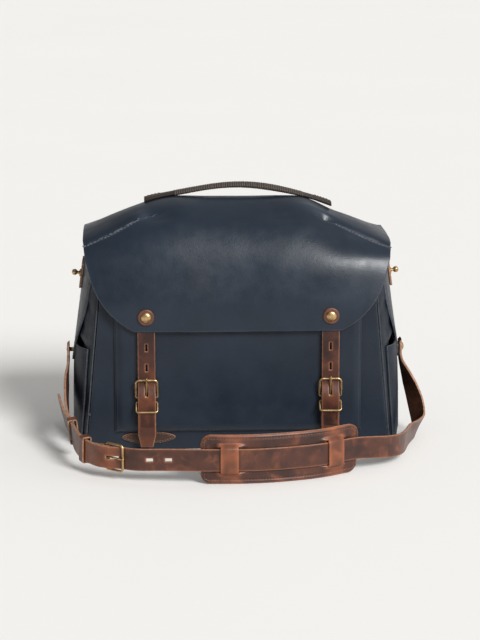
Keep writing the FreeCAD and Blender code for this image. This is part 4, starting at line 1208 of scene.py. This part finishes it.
def strap_band(name, marks, outer, slots, round_ends):
    """A strip that follows the strap's route, with slots and round ends, each (radius, distance, direction)."""
    half, (first, last) = STRAP_HALF, marks
    edges, widths = slot_ends(slots), slot_sides(slots)
    runs = [r for r in np.linspace(first, last, int((last - first) / 1.6)) if all(abs(r - e) > 0.5 for e in edges)]
    ends = []
    for radius, at, sign in round_ends:
        runs = [r for r in runs if (r - at) * sign > radius * 1.02]
        ends += [at + sign * radius * (1 - math.cos(t)) for t in np.linspace(0, math.pi / 2, 12)]
    runs = np.array(sorted(set(runs) | set(edges) | set(ends)))
    across = [a for a in np.linspace(-half, half, 17) if all(abs(abs(a) - w) > 0.6 for w in widths if w > 0)]
    across = np.array(sorted(set(across) | set(widths)))
    narrow = np.ones(len(runs))
    for radius, at, sign in round_ends:
        gap = np.clip((runs - at) * sign / radius, 0, 1)
        narrow = np.minimum(narrow, np.sqrt(np.maximum(1 - (1 - gap) ** 2, 0.0016)))

    def cell(i, a):
        run, share = runs[i], narrow[i]
        tone = 0.5 * hill((half - abs(a)) * share, 1.0) + 0.12 * wave(run, a, 3, 12, 13)
        # Paler at the bends: pull-up colour with a painted highlight.
        tone += sum(most * hill(run - at, reach) for at, reach, most in BENDS) + slot_wear(slots, run, a, 1.2)
        return on_strap(run, a * share, outer(run) + 0.125 * wave(run, a, 0, 22, 12)), max(tone, 0.0)

    band = slotted(name, runs, across, slots, cell, strap_frame(runs[0])[3], 2.6, BROWN_LOOK)
    return own(band, "shoulder_strap", "brown_leather", name.replace("_leather", ""))


def shoulder_strap():
    """The long and short straps, the fold round the buckle's bar, the keepers and the pad."""
    left, right = LEFT_END - STRAP_HALF, RIGHT_END + STRAP_HALF
    ends = ((STRAP_HALF, right, -1), (16.0, TAIL_TIP, 1))
    strap_band("strap_long_leather", (TAIL_TIP, right), lambda run: np.interp(run, *LAYER.T) + 1.3, LONG_SLOTS, ends)
    strap_band("strap_short_leather", (left, -2.4), lambda run: 1.3, (), ((STRAP_HALF, left, 1),))
    eye()
    for word, distance in (("lower", -36.0), ("upper", -97.0)):
        keeper(word, distance)
    pad()


def eye():
    """The short strap's fold round the buckle's pivot bar."""
    line = [
        (-26, -2.2), (-8, -2.2), (-3, -2.8), (0, -3.15), (2.3, -2.25), (3.15, 0), (2.3, 2.25), (0, 3.15),
        (-2.6, 2.4), (-6, 1.5),
    ]

    def place(across, along, out):
        return PIVOT + HEADING * along + UP * across + np.cross(HEADING, UP) * out

    fold = loop_strip(
        "strap_buckle_fold", line, STRAP_HALF, place, BROWN_LOOK, lambda p, a: abs(a) >= 2.9 or p[0] <= -3.6
    )
    own(fold, "shoulder_strap", "brown_leather")


def keeper(word, distance):
    """A leather loop that holds the strap's free end."""
    point, heading, width, out = strap_frame(distance)
    corners = rounded_outline(((-15.2, -3.7), (15.2, -3.7), (15.2, 7.5), (-15.2, 7.5)), 2.6, 6)
    line = resampled(corners + corners[:1], 0.9)[:-1]
    along = np.linspace(-5, 5, 9)
    points = np.array([point + heading * s + width * a + out * b for s in along for a, b in line])
    faces = grid_faces(len(along), len(line), None, True)
    faces = turned(points, faces, points[faces[0][0]] - point - out * 1.9)
    tone = np.repeat(0.55 * hill(5 - np.abs(along), 0.9) + 0.15, len(line))
    loop = hide(f"strap_keeper_{word}_loop", points, faces, 1.7, BROWN_LOOK, tone, 0.3)
    own(loop, "shoulder_strap", "brown_leather", f"strap_keeper_{word}")


# ---------------------------------------------------------------- shoulder pad

PAD_FIRST, PAD_LAST, PAD_HALF, PAD_CORNER = 108.0, 295.0, 27.6, 11.0
BRIDGES = ((PAD_FIRST + 22, PAD_FIRST + 42), (PAD_LAST - 42, PAD_LAST - 22))
SLITS = [mark for bridge in BRIDGES for mark in bridge]


def pad_half(run):
    """Half the pad's width at a distance along it, with round corners."""
    gap = min(run - PAD_FIRST, PAD_LAST - run)
    if gap >= PAD_CORNER:
        return PAD_HALF
    return PAD_HALF - PAD_CORNER + math.sqrt(max(PAD_CORNER**2 - (PAD_CORNER - gap) ** 2, 0.0))


def pad_runs():
    """Distances of the pad's rows, close together at its round ends and with two at each slit's edge."""
    ends = [PAD_CORNER * (1 - math.cos(t)) for t in np.linspace(0, math.pi / 2, 10)]
    runs = [PAD_FIRST + e for e in ends] + [PAD_LAST - e for e in ends]
    runs += list(np.arange(PAD_FIRST + PAD_CORNER + 1, PAD_LAST - PAD_CORNER - 0.5, 1.5))
    runs = sorted(runs + SLITS)
    runs = [r for k, r in enumerate(runs) if k == 0 or r - runs[k - 1] > 0.05]
    return np.array([r + d for r in runs for d in ((-0.12, 0.12) if r in SLITS else (0.0,))])


def bridge_rise(run, across):
    """How far the pad's top rises over the strap, and how it is drawn up beside the slits."""
    over = 1 / (1 + math.exp((abs(across) - 15.6) * 0.85))
    reach = 0.0
    for first, last in BRIDGES:
        gap = max(first - run, run - last, 0.0)
        if gap == 0.0:
            middle = (run - (first + last) / 2) / ((last - first) / 2)
            return (5.2 + 0.5 * (1 - middle**2)) * over
        reach = max(reach, clamp((abs(across) - 13.4) / 2.2) * hill(gap, 6.5))
    return 5.2 * over * reach


def pad_wear_and_highlight(run, across, edge):
    """Rubbed at the rim; paler over the bridges and along their slits, as pull-up colour with a painted highlight."""
    near = max(math.exp(-(((run - (first + last) / 2) / 13) ** 4)) for first, last in BRIDGES)
    slit = hill(min(abs(run - mark) for mark in SLITS), 3.2) * (abs(across) < 19)
    # Over the bridges and by the slits: pull-up colour with a painted highlight on the bulging leather.
    bridge = near * (0.24 + 0.2 * wave(run, across, 2, 9, 18))
    return 0.5 * hill(edge, 1.3) + bridge + 0.4 * slit + 0.1 * wave(run, across, 5, 16, 15)


def pad_cell(run, share):
    """Grain-side points of the pad's top and of its backing, and the top's wear with painted highlights."""
    half = pad_half(min(max(run, PAD_FIRST), PAD_LAST))
    a = share * half
    edge = min(half - abs(a), run - PAD_FIRST + 0.01, PAD_LAST - run + 0.01)
    roll = 1.7 * (1 - min(edge / 3.4, 1.0)) ** 2
    hollow = 0.9 * min(edge / 9, 1.0) * (0.6 + 0.4 * wave(run, a, 0, 26, 14))
    rise = bridge_rise(run, a)
    out = rise - 1.6 - 0.6 * hill(edge - 4.4, 1.1) - roll - hollow * max(1 - rise / 2, 0) * (abs(a) < 25)
    both = (on_strap(run, a, out), on_strap(run, a, -7.1 + roll * 0.8))
    return both, clamp(pad_wear_and_highlight(run, a, edge))


def pad():
    """The shoulder pad: a backing and a padded top whose two bridges the strap runs through."""
    runs = pad_runs()
    shares = np.sin(np.linspace(-1, 1, 61) * math.pi / 2 * 0.9) / math.sin(math.pi / 2 * 0.9)
    both, tone = surface(runs, shares, pad_cell)
    top, under = both[:, :, 0], both[:, :, 1]
    middle = len(runs) // 2
    across, ahead = top[middle, 31] - top[middle, 30], top[middle + 1, 30] - top[middle, 30]
    flip = np.cross(across, ahead).dot(strap_frame(runs[middle])[3]) < 0
    order = slice(None, None, -1 if flip else 1)

    def covered(i, j):
        slit = any(runs[i] < mark < runs[i + 1] for mark in SLITS)
        return not (slit and abs(shares[j] + shares[j + 1]) / 2 * PAD_HALF < 15.4)

    face = sheet_grid("pad_top_leather", top[:, order], 2.0, BROWN_LOOK, tone[:, order], covered, 0.0)
    own(face, "shoulder_strap", "brown_leather", "shoulder_pad_top")
    back = sheet_grid("pad_back_leather", under[:, order][:, ::-1], 2.6, BROWN_LOOK, bevel=0.3)
    own(back, "shoulder_strap", "brown_leather", "shoulder_pad_backing")
    pad_stitches()


def pad_stitches():
    """The seam round the pad, inside its rim."""
    inset = 4.2
    upper = []
    for u in np.linspace(PAD_FIRST + inset, PAD_LAST - inset, 150):
        straight = min(u - PAD_FIRST, PAD_LAST - u) > PAD_CORNER
        upper.append((u, max(pad_half(u) - inset, 0) if straight else pad_half(u) - inset * 0.95))
    loop = resampled(upper + [(u, -w) for u, w in upper[::-1]] + upper[:1], 1.5)
    front = np.array([on_strap(u, w, -2.35) for u, w in loop])
    lines = [(front, np.array([strap_frame(u)[3] for u, _ in loop]))]
    seam("pad_stitches", "shoulder_strap", "brown_leather", lines, 3.3, (2.4, 0.7), BROWN_THREAD)


# ---------------------------------------------------------------- finish


def dress_frame():
    """Give every CAD node that stays its finish."""
    finishes = {"antique_brass": BRASS, "stiffener_board": BOARD, "rope_core": ROPE}
    for item in frame["record"]["subparts"]:
        if item["material_slot"] in finishes:
            for slot in frame["nodes"][item["node"]].material_slots:
                slot.material = finishes[item["material_slot"]]


def stage():
    """A plain pale floor."""
    n = Nodes("studio_floor")
    tone = n.mix(n.spread(n.noise(1.5), 0.3, 0.7), (0.88, 0.872, 0.852), (0.89, 0.882, 0.862))
    rough, grain = n.spread(n.noise(2.0), 0.3, 0.7, 0.8, 0.9), n.bump(n.noise(200.0), 0.00002)
    n.finish(tone, rough, grain, Specular_IOR_Level=0.15)
    corners = [(x * 30000.0, y * 30000.0, 0) for x, y in ((-1, -1), (1, -1), (1, 1), (-1, 1))]
    floor = make_mesh("floor", corners, [(0, 1, 2, 3)], [n.material])


def direction(azimuth, elevation):
    """From the bag towards a place so many degrees round from the front and up."""
    round_, up = math.radians(azimuth), math.radians(elevation)
    return Vector((math.sin(round_) * math.cos(up), -math.cos(round_) * math.cos(up), math.sin(up)))


def placed(name, data, axis, towards, location=(0, 0, 0)):
    """A lamp or a camera whose axis points along a direction."""
    obj = bpy.data.objects.new(name, data)
    obj.location = location
    obj.rotation_euler = towards.to_track_quat(axis, "Y").to_euler()
    bpy.context.collection.objects.link(obj)
    return obj


def lights():
    """A room that is brighter on the right, and one large soft sun."""
    world = bpy.data.worlds.new("studio")
    world.use_nodes = True
    tree = world.node_tree
    background = tree.nodes["Background"].inputs
    background[0].default_value = (1.0, 0.99, 0.975, 1.0)
    place, split = tree.nodes.new("ShaderNodeTexCoord"), tree.nodes.new("ShaderNodeSeparateXYZ")
    strength = tree.nodes.new("ShaderNodeMapRange")
    for name, number in (("From Min", -1.0), ("From Max", 1.0), ("To Min", 0.1), ("To Max", 0.78)):
        strength.inputs[name].default_value = number
    tree.links.new(place.outputs["Generated"], split.inputs[0])
    tree.links.new(split.outputs["X"], strength.inputs["Value"])
    tree.links.new(strength.outputs["Result"], background[1])
    bpy.context.scene.world = world
    sun = bpy.data.lights.new("key", "SUN")
    sun.energy, sun.angle = 3.3, math.radians(22)
    placed("key", sun, "Z", direction(31, 34))


def camera():
    """The view from just left of the front and a little above."""
    back = direction(-2.5, 12.5)
    data = bpy.data.cameras.new("camera")
    data.lens, data.clip_end = 126.07, 100
    target = Vector((0.0034, -0.040, 0.146))
    bpy.context.scene.camera = placed("camera", data, "-Z", -back, target + back * 2.6)


dress_frame()
roof()
shell()
side_fittings()
handle()
closures()
shoulder_strap()
stage()
lights()
camera()
bpy.context.scene.view_settings.view_transform = "Standard"
